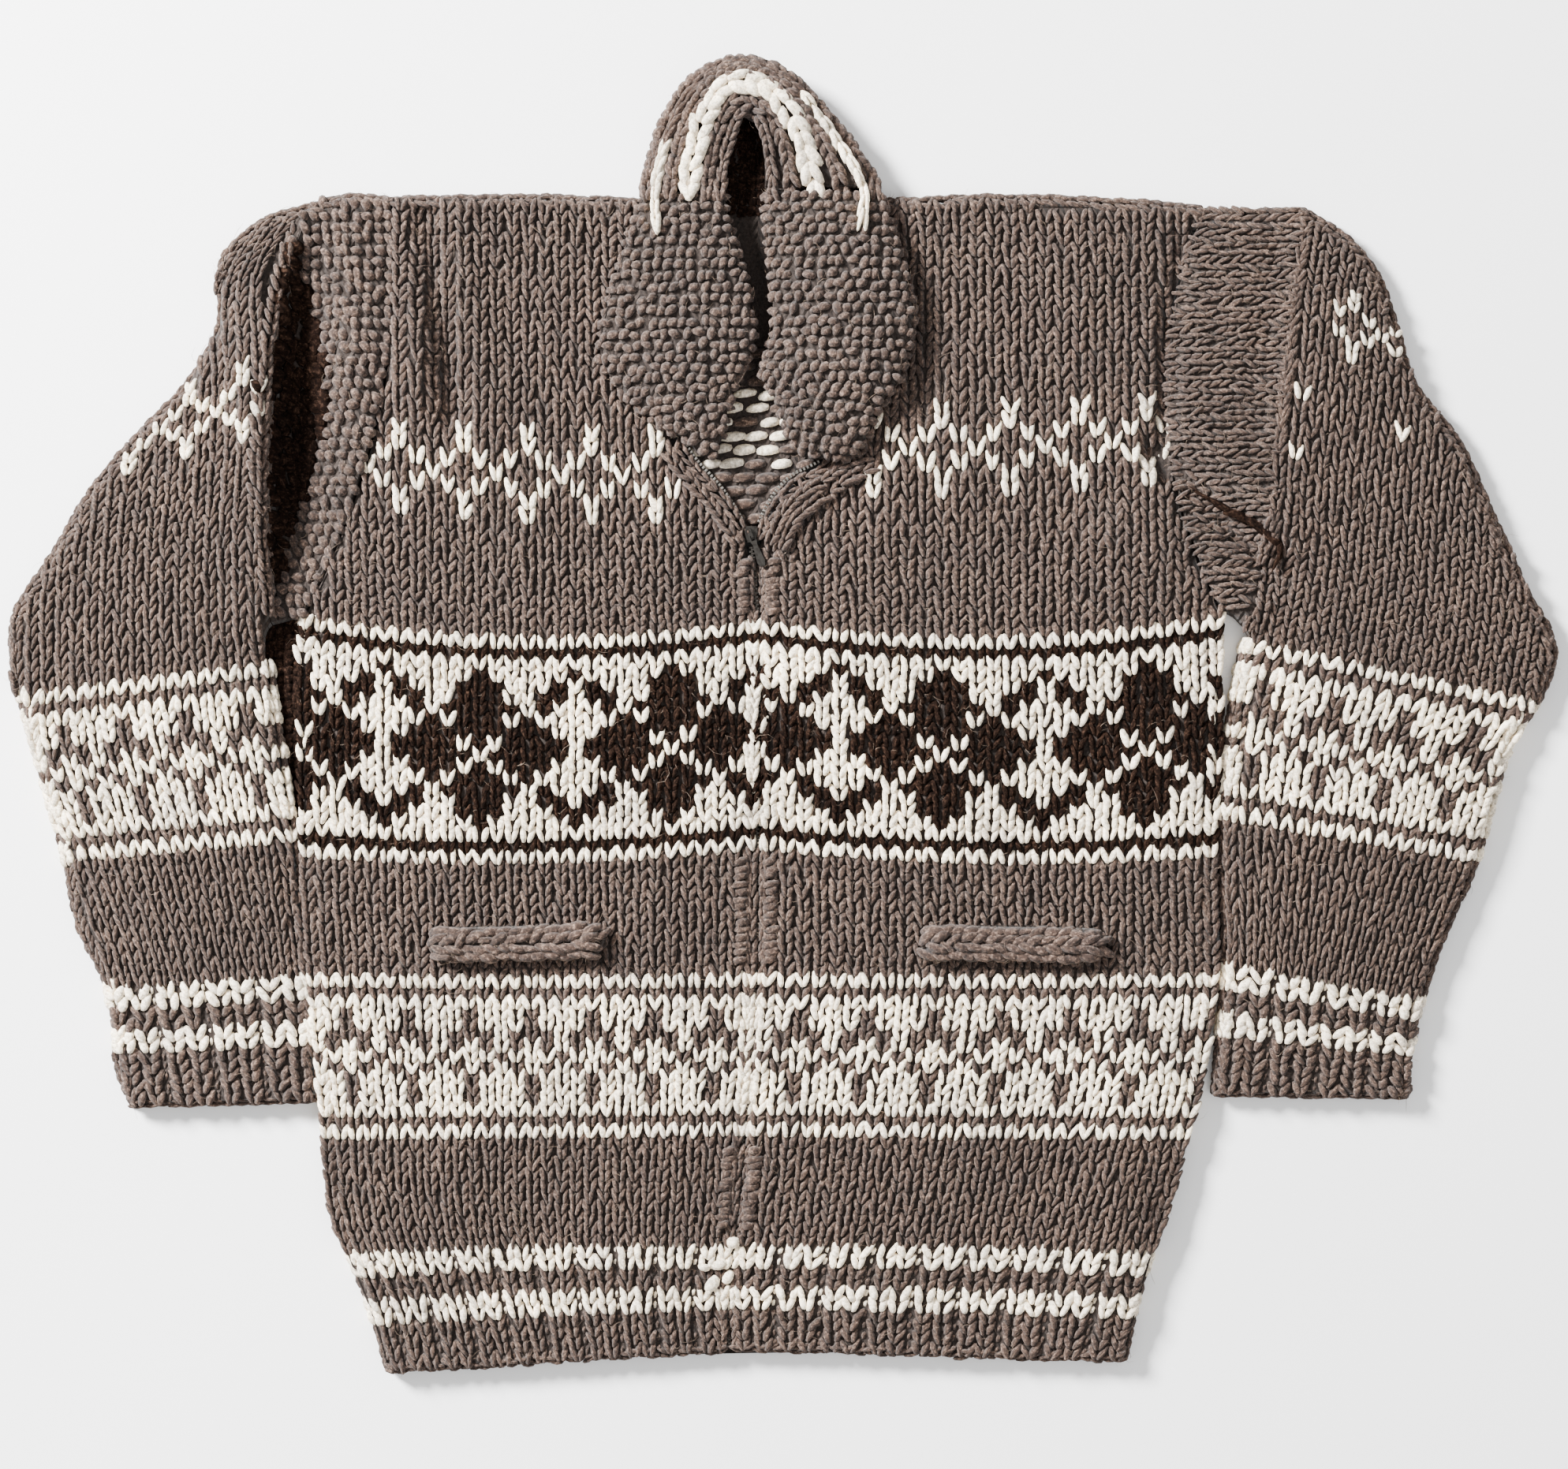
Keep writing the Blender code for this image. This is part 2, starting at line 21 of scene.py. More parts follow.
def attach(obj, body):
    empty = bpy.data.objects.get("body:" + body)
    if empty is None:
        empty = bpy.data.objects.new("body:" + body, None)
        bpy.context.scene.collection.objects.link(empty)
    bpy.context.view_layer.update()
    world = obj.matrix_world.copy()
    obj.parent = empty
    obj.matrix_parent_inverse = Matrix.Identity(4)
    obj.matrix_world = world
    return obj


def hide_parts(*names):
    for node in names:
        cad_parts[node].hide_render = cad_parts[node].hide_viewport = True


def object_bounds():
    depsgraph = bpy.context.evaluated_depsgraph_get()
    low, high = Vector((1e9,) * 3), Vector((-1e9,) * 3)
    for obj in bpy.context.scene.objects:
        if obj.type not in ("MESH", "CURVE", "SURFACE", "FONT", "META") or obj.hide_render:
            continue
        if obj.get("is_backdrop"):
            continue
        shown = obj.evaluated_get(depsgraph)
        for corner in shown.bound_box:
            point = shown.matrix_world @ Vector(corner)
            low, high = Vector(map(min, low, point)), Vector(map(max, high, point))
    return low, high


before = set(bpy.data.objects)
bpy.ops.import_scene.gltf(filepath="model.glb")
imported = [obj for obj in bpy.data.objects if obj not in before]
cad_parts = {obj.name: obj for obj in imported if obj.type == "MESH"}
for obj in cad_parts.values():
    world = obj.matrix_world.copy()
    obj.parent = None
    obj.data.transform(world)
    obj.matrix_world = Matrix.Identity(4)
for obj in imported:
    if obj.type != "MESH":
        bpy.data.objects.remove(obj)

MM = 0.001
PAIR = 2
LOG = logging.getLogger("cardigan")
GARMENT = "garment"
Array = np.ndarray
Table = Sequence[Sequence[float]]
Colour = tuple[float, float, float]
Tree = bpy.types.NodeTree
Socket = bpy.types.NodeSocket
# Purl wales between the ribs lie this far below the knit wales.
PURL_DROP = 2.2
# How far apart the fibres of two legs may start.
FIBRE_REACH = 60.0
# The cloth's slope is never read as steeper than this.
STEEPEST = 2.5


class Shade(Enum):
    """Which yarn a stitch is knitted in. The dark brown yarn is also painted shade in the sleeve's fold, the
    tuck, the underarm gap and the collar's stand.
    """

    GREY = 0
    CREAM = 1
    DARK = 2


class Form(Enum):
    """What one stitch looks like from the side that shows."""

    V = "two legs of a knit stitch"
    BUMP = "the single bump of a purl stitch"
    GARTER = "the rounder bump of a garter stitch"
    PLUMP = "two thick legs, loosely knitted"
    STRAND = "a thick crossing strand of a braided edge"


# ----------------------------------------
# Finishes


def fresh_material(name: str) -> tuple[bpy.types.Material, Tree, bpy.types.Node]:
    """Make an empty node material.

    Args:
        name: the material's name.

    Returns:
        The material, its node tree and its Principled shader.
    """
    material = bpy.data.materials.new(name)
    material.use_nodes = True
    tree = material.node_tree
    return material, tree, tree.nodes["Principled BSDF"]


def noise_node(
    tree: Tree, vector: Socket, scale: float, detail: float, rough: float = 0.6
) -> Socket:
    """Add a noise texture.

    Args:
        tree: the material's tree.
        vector: the coordinates that it reads.
        scale: how fine it is.
        detail: how many octaves it has.
        rough: how strong the fine octaves are.

    Returns:
        Its grey output.
    """
    noise = tree.nodes.new("ShaderNodeTexNoise")
    set_inputs(noise, {"Scale": scale, "Detail": detail, "Roughness": rough})
    tree.links.new(vector, noise.inputs["Vector"])
    return noise.outputs["Fac"]


def ramp_node(
    tree: Tree, factor: Socket, stops: Sequence[tuple[float, Colour]]
) -> Socket:
    """Add a colour ramp.

    Args:
        tree: the material's tree.
        factor: the value that it reads.
        stops: pairs of place and linear colour.

    Returns:
        Its colour output.
    """
    ramp = tree.nodes.new("ShaderNodeValToRGB")
    points = ramp.color_ramp.elements
    while len(points) < len(stops):
        points.new(0.5)
    for point, (place, colour) in zip(points, stops):
        point.position = place
        point.color = (*colour, 1.0)
    tree.links.new(factor, ramp.inputs["Fac"])
    return ramp.outputs["Color"]


def mix_node(
    tree: Tree,
    factor: Socket | float,
    first: Socket,
    second: Socket,
    blend: str = "MIX",
) -> Socket:
    """Add a colour mix.

    Args:
        tree: the material's tree.
        factor: how much of the second colour, as a socket or a number.
        first: the colour below.
        second: the colour above.
        blend: Blender's name for how they mix.

    Returns:
        Its colour output.
    """
    mix = tree.nodes.new("ShaderNodeMix")
    mix.data_type = "RGBA"
    mix.blend_type = blend
    if isinstance(factor, float):
        mix.inputs[0].default_value = factor
    else:
        tree.links.new(factor, mix.inputs[0])
    tree.links.new(first, mix.inputs[6])
    tree.links.new(second, mix.inputs[7])
    return mix.outputs[2]


def set_inputs(node: bpy.types.Node, values: dict[str, float]) -> None:
    """Set some of a node's plain inputs."""
    for name, number in values.items():
        node.inputs[name].default_value = number


def object_place(tree: Tree) -> Socket:
    """The coordinates that stay with the piece."""
    return tree.nodes.new("ShaderNodeTexCoord").outputs["Object"]


def map_range(tree: Tree, value: Socket, low: float, high: float, to_low: float, to_high: float) -> Socket:
    """Rescale a value from one range to another."""
    node = tree.nodes.new("ShaderNodeMapRange")
    set_inputs(node, {"From Min": low, "From Max": high, "To Min": to_low, "To Max": to_high})
    tree.links.new(value, node.inputs["Value"])
    return node.outputs["Result"]


def math_node(tree: Tree, operation: str, *values: Socket | float) -> Socket:
    """Add a sum whose terms are sockets or numbers."""
    node = tree.nodes.new("ShaderNodeMath")
    node.operation = operation
    for term, value in zip(node.inputs, values):
        if isinstance(value, float):
            term.default_value = value
        else:
            tree.links.new(value, term)
    return node.outputs[0]


def add_bump(tree: Tree, shader: bpy.types.Node, height: Socket, strength: float, depth: float) -> None:
    """Put a bump of a given depth, in metres, on a shader."""
    bump = tree.nodes.new("ShaderNodeBump")
    set_inputs(bump, {"Strength": strength, "Distance": depth})
    tree.links.new(height, bump.inputs["Height"])
    tree.links.new(bump.outputs["Normal"], shader.inputs["Normal"])


@dataclass(frozen=True)
class YarnFinish:
    """Hand-spun wool as it shows on one leg of a stitch: fibres, flecks and an uneven tone."""

    name: str
    slot: str
    deep: Colour
    body: Colour
    fleck: Colour
    sheen: float
    fibre_depth: float
    patch_scale: float = 55.0

    def material(self) -> bpy.types.Material:
        """Make the yarn's material.

        Returns:
            A material that reads the stitch maps "yarn" and "tone".
        """
        material, tree, shader = fresh_material(self.name)
        yarn = tree.nodes.new("ShaderNodeUVMap")
        yarn.uv_map = "yarn"
        stretch = tree.nodes.new("ShaderNodeMapping")
        stretch.inputs["Scale"].default_value = (1.0, 3.2, 1.0)
        stretch.inputs["Rotation"].default_value = (0.0, 0.0, 0.35)
        tree.links.new(yarn.outputs["UV"], stretch.inputs["Vector"])
        fibres = noise_node(tree, stretch.outputs["Vector"], 2.1, 7.0, 0.80)
        place = object_place(tree)
        clumps = noise_node(tree, place, self.patch_scale, 3.0, 0.6)
        fine = noise_node(tree, place, 420.0, 4.0, 0.8)
        colour = ramp_node(
            tree, fibres, ((0.38, self.deep), (0.46, self.body), (0.51, self.body), (0.60, self.fleck))
        )
        grain = ramp_node(tree, fine, ((0.36, (0.36, 0.35, 0.34)), (0.64, (1.62, 1.60, 1.58))))
        colour = mix_node(tree, 0.8, colour, grain, "MULTIPLY")
        wash = ramp_node(tree, clumps, ((0.30, (0.74, 0.73, 0.76)), (0.70, (1.22, 1.20, 1.16))))
        colour = mix_node(tree, 1.0, colour, wash, "MULTIPLY")
        tone = tree.nodes.new("ShaderNodeAttribute")
        tone.attribute_name = "tone"
        level = map_range(tree, tone.outputs["Fac"], 0.0, 1.0, 0.72, 1.24)
        shade = tree.nodes.new("ShaderNodeVectorMath")
        shade.operation = "SCALE"
        tree.links.new(colour, shade.inputs[0])
        tree.links.new(level, shade.inputs["Scale"])
        tree.links.new(shade.outputs["Vector"], shader.inputs["Base Color"])
        sheen = {"Sheen Weight": self.sheen, "Sheen Roughness": 0.6}
        set_inputs(shader, {"Roughness": 0.96, "Specular IOR Level": 0.06, **sheen})
        add_bump(tree, shader, fibres, 0.9, self.fibre_depth)
        return material


@dataclass(frozen=True)
class ClothFinish:
    """The shell under the stitches: yarn in shade, with the ribbed look of wales and rows."""

    name: str
    slot: str
    deep: Colour
    body: Colour
    wale: float = 0.0102
    row: float = 0.0068

    def material(self) -> bpy.types.Material:
        """Make the shell's material, whose bump is a knit of the same gauge as the stitches."""
        material, tree, shader = fresh_material(self.name)
        place = object_place(tree)
        split = tree.nodes.new("ShaderNodeSeparateXYZ")
        tree.links.new(place, split.inputs["Vector"])
        # A V stitch: the distance to the wale's middle pushes each row's phase.
        wave = math_node(tree, "PINGPONG", split.outputs["X"], self.wale * 0.5)
        slant = math_node(tree, "MULTIPLY_ADD", wave, -1.5, split.outputs["Y"])
        rows = math_node(tree, "PINGPONG", slant, self.row * 0.5)
        ridge = map_range(tree, rows, 0.0, self.row * 0.5, 0.0, 1.0)
        groove = map_range(tree, wave, 0.0, self.wale * 0.25, 0.0, 1.0)
        height = math_node(tree, "MULTIPLY", ridge, groove)
        fuzz = noise_node(tree, place, 700.0, 5.0, 0.7)
        colour = ramp_node(tree, fuzz, ((0.30, self.deep), (0.70, self.body)))
        tree.links.new(colour, shader.inputs["Base Color"])
        set_inputs(shader, {"Roughness": 0.98, "Sheen Weight": 0.15, "Specular IOR Level": 0.1})
        add_bump(tree, shader, height, 0.9, 0.0016)
        return material


@dataclass(frozen=True)
class MetalFinish:
    """Cast or stamped zip metal, with tarnish in blotches."""

    name: str
    slot: str
    bright: Colour
    tarnish: Colour
    rough: float

    def material(self) -> bpy.types.Material:
        """Make the metal's material."""
        material, tree, shader = fresh_material(self.name)
        place = object_place(tree)
        blot = noise_node(tree, place, 420.0, 4.0)
        colour = ramp_node(tree, blot, ((0.35, self.tarnish), (0.65, self.bright)))
        tree.links.new(colour, shader.inputs["Base Color"])
        rough = map_range(tree, blot, 0.3, 0.7, self.rough + 0.2, self.rough)
        tree.links.new(rough, shader.inputs["Roughness"])
        shader.inputs["Metallic"].default_value = 1.0
        add_bump(tree, shader, noise_node(tree, place, 1600.0, 2.0), 0.3, 0.0001)
        return material


@dataclass(frozen=True)
class TapeFinish:
    """Woven black zip tape, a fine twill."""

    name: str
    slot: str
    dark: Colour
    light: Colour
    thread: float = 0.0007

    def material(self) -> bpy.types.Material:
        """Make the tape's material."""
        material, tree, shader = fresh_material(self.name)
        place = object_place(tree)
        twill = tree.nodes.new("ShaderNodeTexWave")
        twill.bands_direction = "DIAGONAL"
        set_inputs(twill, {"Scale": 0.35 / self.thread, "Distortion": 0.6})
        tree.links.new(place, twill.inputs["Vector"])
        colour = ramp_node(tree, twill.outputs["Fac"], ((0.2, self.dark), (0.8, self.light)))
        tree.links.new(colour, shader.inputs["Base Color"])
        set_inputs(shader, {"Roughness": 0.85, "Sheen Weight": 0.2})
        add_bump(tree, shader, twill.outputs["Fac"], 0.6, 0.0002)
        return material


@dataclass(frozen=True)
class FloorFinish:
    """A plain pale studio floor."""

    name: str
    pale: Colour
    paler: Colour

    def material(self) -> bpy.types.Material:
        """Make the floor's material."""
        material, tree, shader = fresh_material(self.name)
        place = object_place(tree)
        cloud = noise_node(tree, place, 1.5, 2.0)
        colour = ramp_node(tree, cloud, ((0.3, self.pale), (0.7, self.paler)))
        tree.links.new(colour, shader.inputs["Base Color"])
        set_inputs(shader, {"Roughness": 0.9, "Specular IOR Level": 0.1})
        return material


GREY_YARN = YarnFinish(
    "grey brown wool", "grey_brown_knit",
    (0.0125, 0.0072, 0.0052), (0.050, 0.0300, 0.0218), (0.215, 0.143, 0.108), 0.12, 0.0016,
)
COLLAR_YARN = YarnFinish(
    "collar wool", "collar_knit",
    (0.0125, 0.0074, 0.0054), (0.052, 0.0318, 0.0236), (0.205, 0.140, 0.108), 0.12, 0.0016, 40.0,
)
WELT_YARN = YarnFinish(
    "welt wool", "welt_knit",
    (0.0120, 0.0070, 0.0052), (0.047, 0.0285, 0.0212), (0.205, 0.138, 0.106), 0.12, 0.0016,
)
CREAM_YARN = YarnFinish(
    "cream wool", "cream_yarn",
    (0.54, 0.42, 0.28), (0.84, 0.75, 0.59), (0.93, 0.87, 0.74), 0.10, 0.0008, 30.0,
)
HAIR = YarnFinish(
    "loose hairs", "grey_brown_knit",
    (0.050, 0.034, 0.026), (0.150, 0.108, 0.084), (0.52, 0.43, 0.34), 0.0, 0.0004,
)
# The dark brown yarn of the diamonds and stripes; it also paints shade in the sleeve's fold, the tuck, the
# underarm gap and the collar's stand.
DARK_YARN_AND_PAINTED_SHADE = YarnFinish(
    "dark brown wool", "dark_yarn",
    (0.0022, 0.0010, 0.0007), (0.0090, 0.0044, 0.0028), (0.045, 0.025, 0.017), 0.0, 0.0016,
)
SHELL = ClothFinish("knit in shade", "grey_brown_knit", (0.010, 0.0075, 0.0065), (0.045, 0.034, 0.029))
COLLAR_SHELL = ClothFinish("collar in shade", "collar_knit", (0.010, 0.0075, 0.0065), (0.045, 0.034, 0.029))
WELT_SHELL = ClothFinish("welt in shade", "welt_knit", (0.011, 0.008, 0.007), (0.048, 0.037, 0.031))
TAPE = TapeFinish("black zip tape", "black_tape", (0.006, 0.006, 0.006), (0.020, 0.019, 0.019))
TEETH_METAL = MetalFinish("zip teeth metal", "zip_metal", (0.42, 0.40, 0.36), (0.10, 0.09, 0.08), 0.30)
# The closed chain's teeth are darkened as painted shade between the fronts.
CHAIN_METAL_IN_PAINTED_SHADE = MetalFinish(
    "worn zip teeth metal", "zip_metal", (0.07, 0.062, 0.055), (0.02, 0.018, 0.016), 0.4,
)
DARK_METAL = MetalFinish("dark zip metal", "dark_metal", (0.06, 0.055, 0.05), (0.02, 0.018, 0.016), 0.30)
FLOOR = FloorFinish("studio floor", (0.93, 0.93, 0.93), (0.95, 0.95, 0.95))


# ----------------------------------------
# Smooth tables and surfaces


def smooth(table: Table, places: Array) -> Array:
    """Read a table smoothly between its rows.

    Args:
        table: rows of numbers; the first column is where each row lies, in rising order.
        places: where to read it.

    Returns:
        An array with one row for each place and one column for each column after the first.
    """
    rows = np.asarray(table, dtype=float)
    knots = rows[:, 0]
    values = rows[:, 1:]
    slopes = np.gradient(values, knots, axis=0)
    places = np.clip(places, knots[0], knots[-1])
    i = np.clip(np.searchsorted(knots, places, side="right") - 1, 0, len(knots) - 2)
    span = knots[i + 1] - knots[i]
    t = ((places - knots[i]) / span)[:, None]
    span = span[:, None]
    near = values[i] * (2 * t**3 - 3 * t**2 + 1) + slopes[i] * span * (t**3 - 2 * t**2 + t)
    return near + values[i + 1] * (3 * t**2 - 2 * t**3) + slopes[i + 1] * span * (t**3 - t**2)


def even_curve(points: Table, places: Array) -> Array:
    """Points along a smooth line at the given shares (0 to 1) of its length."""
    line = np.asarray(points, dtype=float)
    reach = reach_along(line)
    table = np.column_stack((reach / reach[-1], line))
    return smooth(table, np.asarray(places, dtype=float))


def reach_along(line: Array) -> Array:
    """How far along a line each of its points lies."""
    steps = np.linalg.norm(np.diff(line, axis=0), axis=1)
    return np.concatenate(([0.0], np.cumsum(steps)))


def read_along(at: Array, reach: Array, values: Array) -> Array:
    """Read columns of values at distances along a line."""
    return np.column_stack([np.interp(at, reach, column) for column in values.T])


def mesh_places(mesh: bpy.types.Mesh) -> Array:
    """The places of a mesh's points, in metres."""
    places = np.empty(len(mesh.vertices) * 3, dtype=np.float32)
    mesh.vertices.foreach_get("co", places)
    return places.reshape(-1, 3).astype(float)


@dataclass(frozen=True)
class Crease:
    """A soft trough or ridge in the cloth, along a straight line, in millimetres."""

    start: tuple[float, float]
    end: tuple[float, float]
    half_width: float
    lift: float

    def rise(self, xy: Array) -> Array:
        """How far the cloth rises, or sinks, at places in plan."""
        start = np.array(self.start)
        way = np.array(self.end) - start
        length = np.linalg.norm(way)
        way = way / length
        along = (xy - start) @ way
        beyond = np.maximum(0.0, np.maximum(-along, along - length))
        across = (xy - start) @ np.array((-way[1], way[0]))
        reach = np.hypot(across / self.half_width, beyond / (self.half_width * 1.4))
        return self.lift * np.exp(-(reach**2))


@dataclass(frozen=True)
class Tuck:
    """A bent line along which the cloth dips sharply under itself."""

    points: Table
    half_width: float
    lift: float
    steps: int = 12

    def strand(self, surface: "Surface") -> "Stitches":
        """Lay a dark strand along the tuck, to stand for the shade inside it.

        Args:
            surface: the cloth under it.

        Returns:
            Its stitches, thin at the start and thickest past the middle.
        """
        share = np.linspace(0.0, 1.0, self.steps + 1)
        line = even_curve(np.asarray(self.points, dtype=float), share)
        step = np.diff(line, axis=0)
        half_way = 0.5 * (share[1:] + share[:-1])[:, None]
        width = self.half_width * np.sqrt(np.sin(np.pi * half_way**1.5))
        side = left_of(line) / np.linalg.norm(step, axis=1)[:, None]
        shade = np.full(len(step), Shade.DARK.value)
        middle = 0.5 * (line[1:] + line[:-1])
        return lay(surface, middle, side * -2.8 * width, step * 1.3, shade, self.lift)


def creased(places: Array, creases: Sequence[Crease], floor: float = 6.0) -> Array:
    """Move the upper side of the cloth by its creases.

    Args:
        places: points in metres.
        creases: the creases.
        floor: points lower than this, in millimetres, stay where they are.

    Returns:
        The moved points.
    """
    moved = places.copy()
    level = places[:, 2] / MM
    share = np.clip((level - floor) / 6.0, 0.0, 1.0)
    for crease in creases:
        moved[:, 2] += crease.rise(places[:, :2] / MM) * share * MM
    return moved


class Surface:
    """The top of one or more CAD nodes, as a height that can be read at any place in plan."""

    def __init__(self, nodes: Sequence[str], blur: float = 4.0, creases: Sequence[Crease] = ()) -> None:
        """Gather the nodes' faces.

        Args:
            nodes: the CAD nodes.
            blur: reach, in millimetres, over which heights are averaged, so that facets vanish.
            creases: the soft troughs and ridges that the cloth has on these nodes.
        """
        verts: list[Vector] = []
        faces: list[tuple[int, ...]] = []
        for name in nodes:
            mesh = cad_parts[name].data
            start = len(verts)
            verts.extend(Vector(place) for place in mesh_places(mesh))
            faces.extend(tuple(start + i for i in poly.vertices) for poly in mesh.polygons)
        self.tree = BVHTree.FromPolygons(verts, faces)
        self.blur = blur
        self.creases = creases

    def drop(self, x: float, y: float) -> float | None:
        """Height of the top at a place, or None beyond the outline."""
        hit = self.tree.ray_cast(Vector((x * MM, y * MM, 1.0)), Vector((0.0, 0.0, -1.0)))
        return None if hit[0] is None else hit[0].z / MM

    def heights(self, xy: Array) -> Array:
        """Heights, in millimetres, at an array of places; beyond the outline, the nearest edge's."""
        result = np.empty(len(xy))
        for k, (x, y) in enumerate(xy):
            height = self.drop(x, y)
            if height is None:
                near = self.tree.find_nearest(Vector((x * MM, y * MM, 0.02)))
                height = near[0].z / MM
            result[k] = height
        places = np.column_stack((xy, result)) * MM
        return creased(places, self.creases)[:, 2] / MM

    def covers(self, xy: Array) -> Array:
        """Which places lie on the nodes."""
        return np.array([self.drop(x, y) is not None for x, y in xy])

    def read(self, xy: Array) -> tuple[Array, Array]:
        """Blurred heights and slopes.

        Args:
            xy: places in plan, in millimetres.

        Returns:
            The heights, and the slopes along x and y.
        """
        b = self.blur
        here = self.heights(xy)
        east = self.heights(xy + (b, 0.0))
        west = self.heights(xy - (b, 0.0))
        north = self.heights(xy + (0.0, b))
        south = self.heights(xy - (0.0, b))
        level = 0.4 * here + 0.15 * (east + west + north + south)
        slope = np.column_stack(((east - west) / (2 * b), (north - south) / (2 * b)))
        return level, np.clip(slope, -STEEPEST, STEEPEST)


# ----------------------------------------
# Stitches


@dataclass
class Stitches:
    """A run of stitches: each has a middle, the vectors across and up it, and the way it faces."""

    middle: Array
    across: Array
    up: Array
    facing: Array
    shade: Array

    @staticmethod
    def join(runs: Sequence["Stitches"]) -> "Stitches":
        """One run out of several."""
        return Stitches(*(np.concatenate([getattr(run, name) for run in runs]) for name in STITCH_PARTS))

    def only(self, keep: Array) -> "Stitches":
        """The stitches that a mask keeps."""
        return Stitches(*(getattr(self, name)[keep] for name in STITCH_PARTS))


STITCH_PARTS = ("middle", "across", "up", "facing", "shade")


@dataclass(frozen=True)
class LegShape:
    """The form of one leg of yarn, in shares of a stitch, with thicknesses in millimetres.

    Each row of rings gives: share along the leg, share of the full thickness.
    """

    rings: tuple[tuple[float, float], ...]
    sides: int
    foot: tuple[float, float, float]
    head: tuple[float, float, float]
    width: float
    thick: float
    sideways: bool = False
    crown: float = 0.5

    def points(self) -> tuple[Array, list[tuple[int, ...]], Array]:
        """Work the leg out.

        Returns:
            Its points as (across, up, out), its faces, and each point's place (along, round).
        """
        foot = np.array(self.foot)
        head = np.array(self.head)

        def spine(s: float) -> Array:
            """The middle of the leg at a share of its length."""
            centre = foot + (head - foot) * s
            centre[2] += self.crown * math.sin(math.pi * s)
            return centre

        points = [spine(0.0)]
        places = [(0.0, 0.5)]
        for s, full in self.rings:
            centre = spine(s)
            for k in range(self.sides):
                angle = 2.0 * math.pi * (k + 0.5) / self.sides
                wide = full * self.width * math.cos(angle)
                ring = (0.0, -wide) if self.sideways else (wide, 0.0)
                points.append(centre + (*ring, full * self.thick * math.sin(angle)))
                places.append((s, k / self.sides))
        points.append(spine(1.0))
        places.append((1.0, 0.5))
        faces: list[tuple[int, ...]] = []
        last = len(points) - 1
        for k in range(self.sides):
            m = (k + 1) % self.sides
            faces.append((0, 1 + k, 1 + m))
            for r in range(len(self.rings) - 1):
                low = 1 + r * self.sides
                high = low + self.sides
                faces.append((low + k, high + k, high + m, low + m))
            top = 1 + (len(self.rings) - 1) * self.sides
            faces.append((last, top + m, top + k))
        return np.array(points), faces, np.array(places)


KNIT_RINGS = ((0.10, 0.62), (0.48, 1.0), (0.88, 0.72))
FULL_RINGS = ((0.07, 0.58), (0.30, 0.96), (0.62, 1.0), (0.92, 0.66))
# A leg leans from the foot of its V out to the head, which tucks under the next row's feet.
GREY_LEG = LegShape(KNIT_RINGS, 5, (0.12, -0.78, 0.9), (0.41, 0.72, -1.1), 0.205, 2.0)
CREAM_LEG = LegShape(FULL_RINGS, 6, (0.13, -0.80, 1.1), (0.41, 0.74, -0.8), 0.215, 2.4)
PURL_BUMP = LegShape(FULL_RINGS, 5, (-0.54, -0.10, -1.4), (0.54, 0.10, -1.4), 0.40, 2.3, True, 2.0)
GARTER_BUMP = LegShape(FULL_RINGS, 5, (-0.56, -0.20, -1.7), (0.56, 0.20, -1.7), 0.50, 2.5, True, 2.3)
PLUMP_LEG = LegShape(FULL_RINGS, 6, (0.10, -0.82, 0.8), (0.38, 0.74, -1.0), 0.27, 3.2, False, 1.2)
BRAID_STRAND = LegShape(FULL_RINGS, 6, (0.0, -0.95, -1.2), (0.0, 0.95, -1.2), 0.34, 3.0, False, 2.2)


def riding(name: str, mesh: bpy.types.Mesh) -> bpy.types.Object:
    """Put a mesh in the scene as a piece that rides on the garment."""
    obj = bpy.data.objects.new(name, mesh)
    bpy.context.collection.objects.link(obj)
    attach(obj, GARMENT)
    return obj


def filled_mesh(name: str, verts: Array, loops: list[Array]) -> bpy.types.Mesh:
    """Fill a mesh from its points and blocks of faces, each block with one row of corners for each face."""
    mesh = bpy.data.meshes.new(name)
    corners = np.concatenate([block.ravel() for block in loops]).astype(np.int32)
    counts = np.concatenate([np.full(len(block), block.shape[1]) for block in loops])
    starts = np.concatenate(([0], np.cumsum(counts)[:-1])).astype(np.int32)
    mesh.vertices.add(len(verts))
    mesh.vertices.foreach_set("co", verts.astype(np.float32).ravel())
    mesh.loops.add(len(corners))
    mesh.loops.foreach_set("vertex_index", corners)
    mesh.polygons.add(len(counts))
    mesh.polygons.foreach_set("loop_start", starts)
    mesh.update(calc_edges=True)
    return mesh


def add_yarn(mesh: bpy.types.Mesh, places: list[Array], start: Array, tone: Array, yarn: YarnFinish) -> None:
    """Give each leg its fibres' coordinates, its own cell in a map that nothing shares, a tone and its yarn.

    Args:
        mesh: the legs.
        places: each block of faces' places along and round the leg.
        start: where each leg's fibres start.
        tone: each leg's tone.
        yarn: the yarn.
    """
    legs = len(tone)
    grid = math.ceil(math.sqrt(legs))
    cell = np.arange(legs)
    corner = np.column_stack((cell % grid, cell // grid))[:, None, :] / grid
    fibres = np.concatenate([(start + block * (2.2, 1.0)).reshape(-1, PAIR) for block in places])
    bake = np.concatenate([(corner + (0.06 + 0.88 * block) / grid).reshape(-1, PAIR) for block in places])
    for name, values in (("OFBake", bake), ("yarn", fibres)):
        layer = mesh.uv_layers.new(name=name)
        layer.data.foreach_set("uv", values.astype(np.float32).ravel())
    each = np.repeat(tone, len(mesh.vertices) // legs).astype(np.float32)
    mesh.attributes.new("tone", "FLOAT", "POINT").data.foreach_set("value", each)
    mesh.materials.append(material_of(yarn))


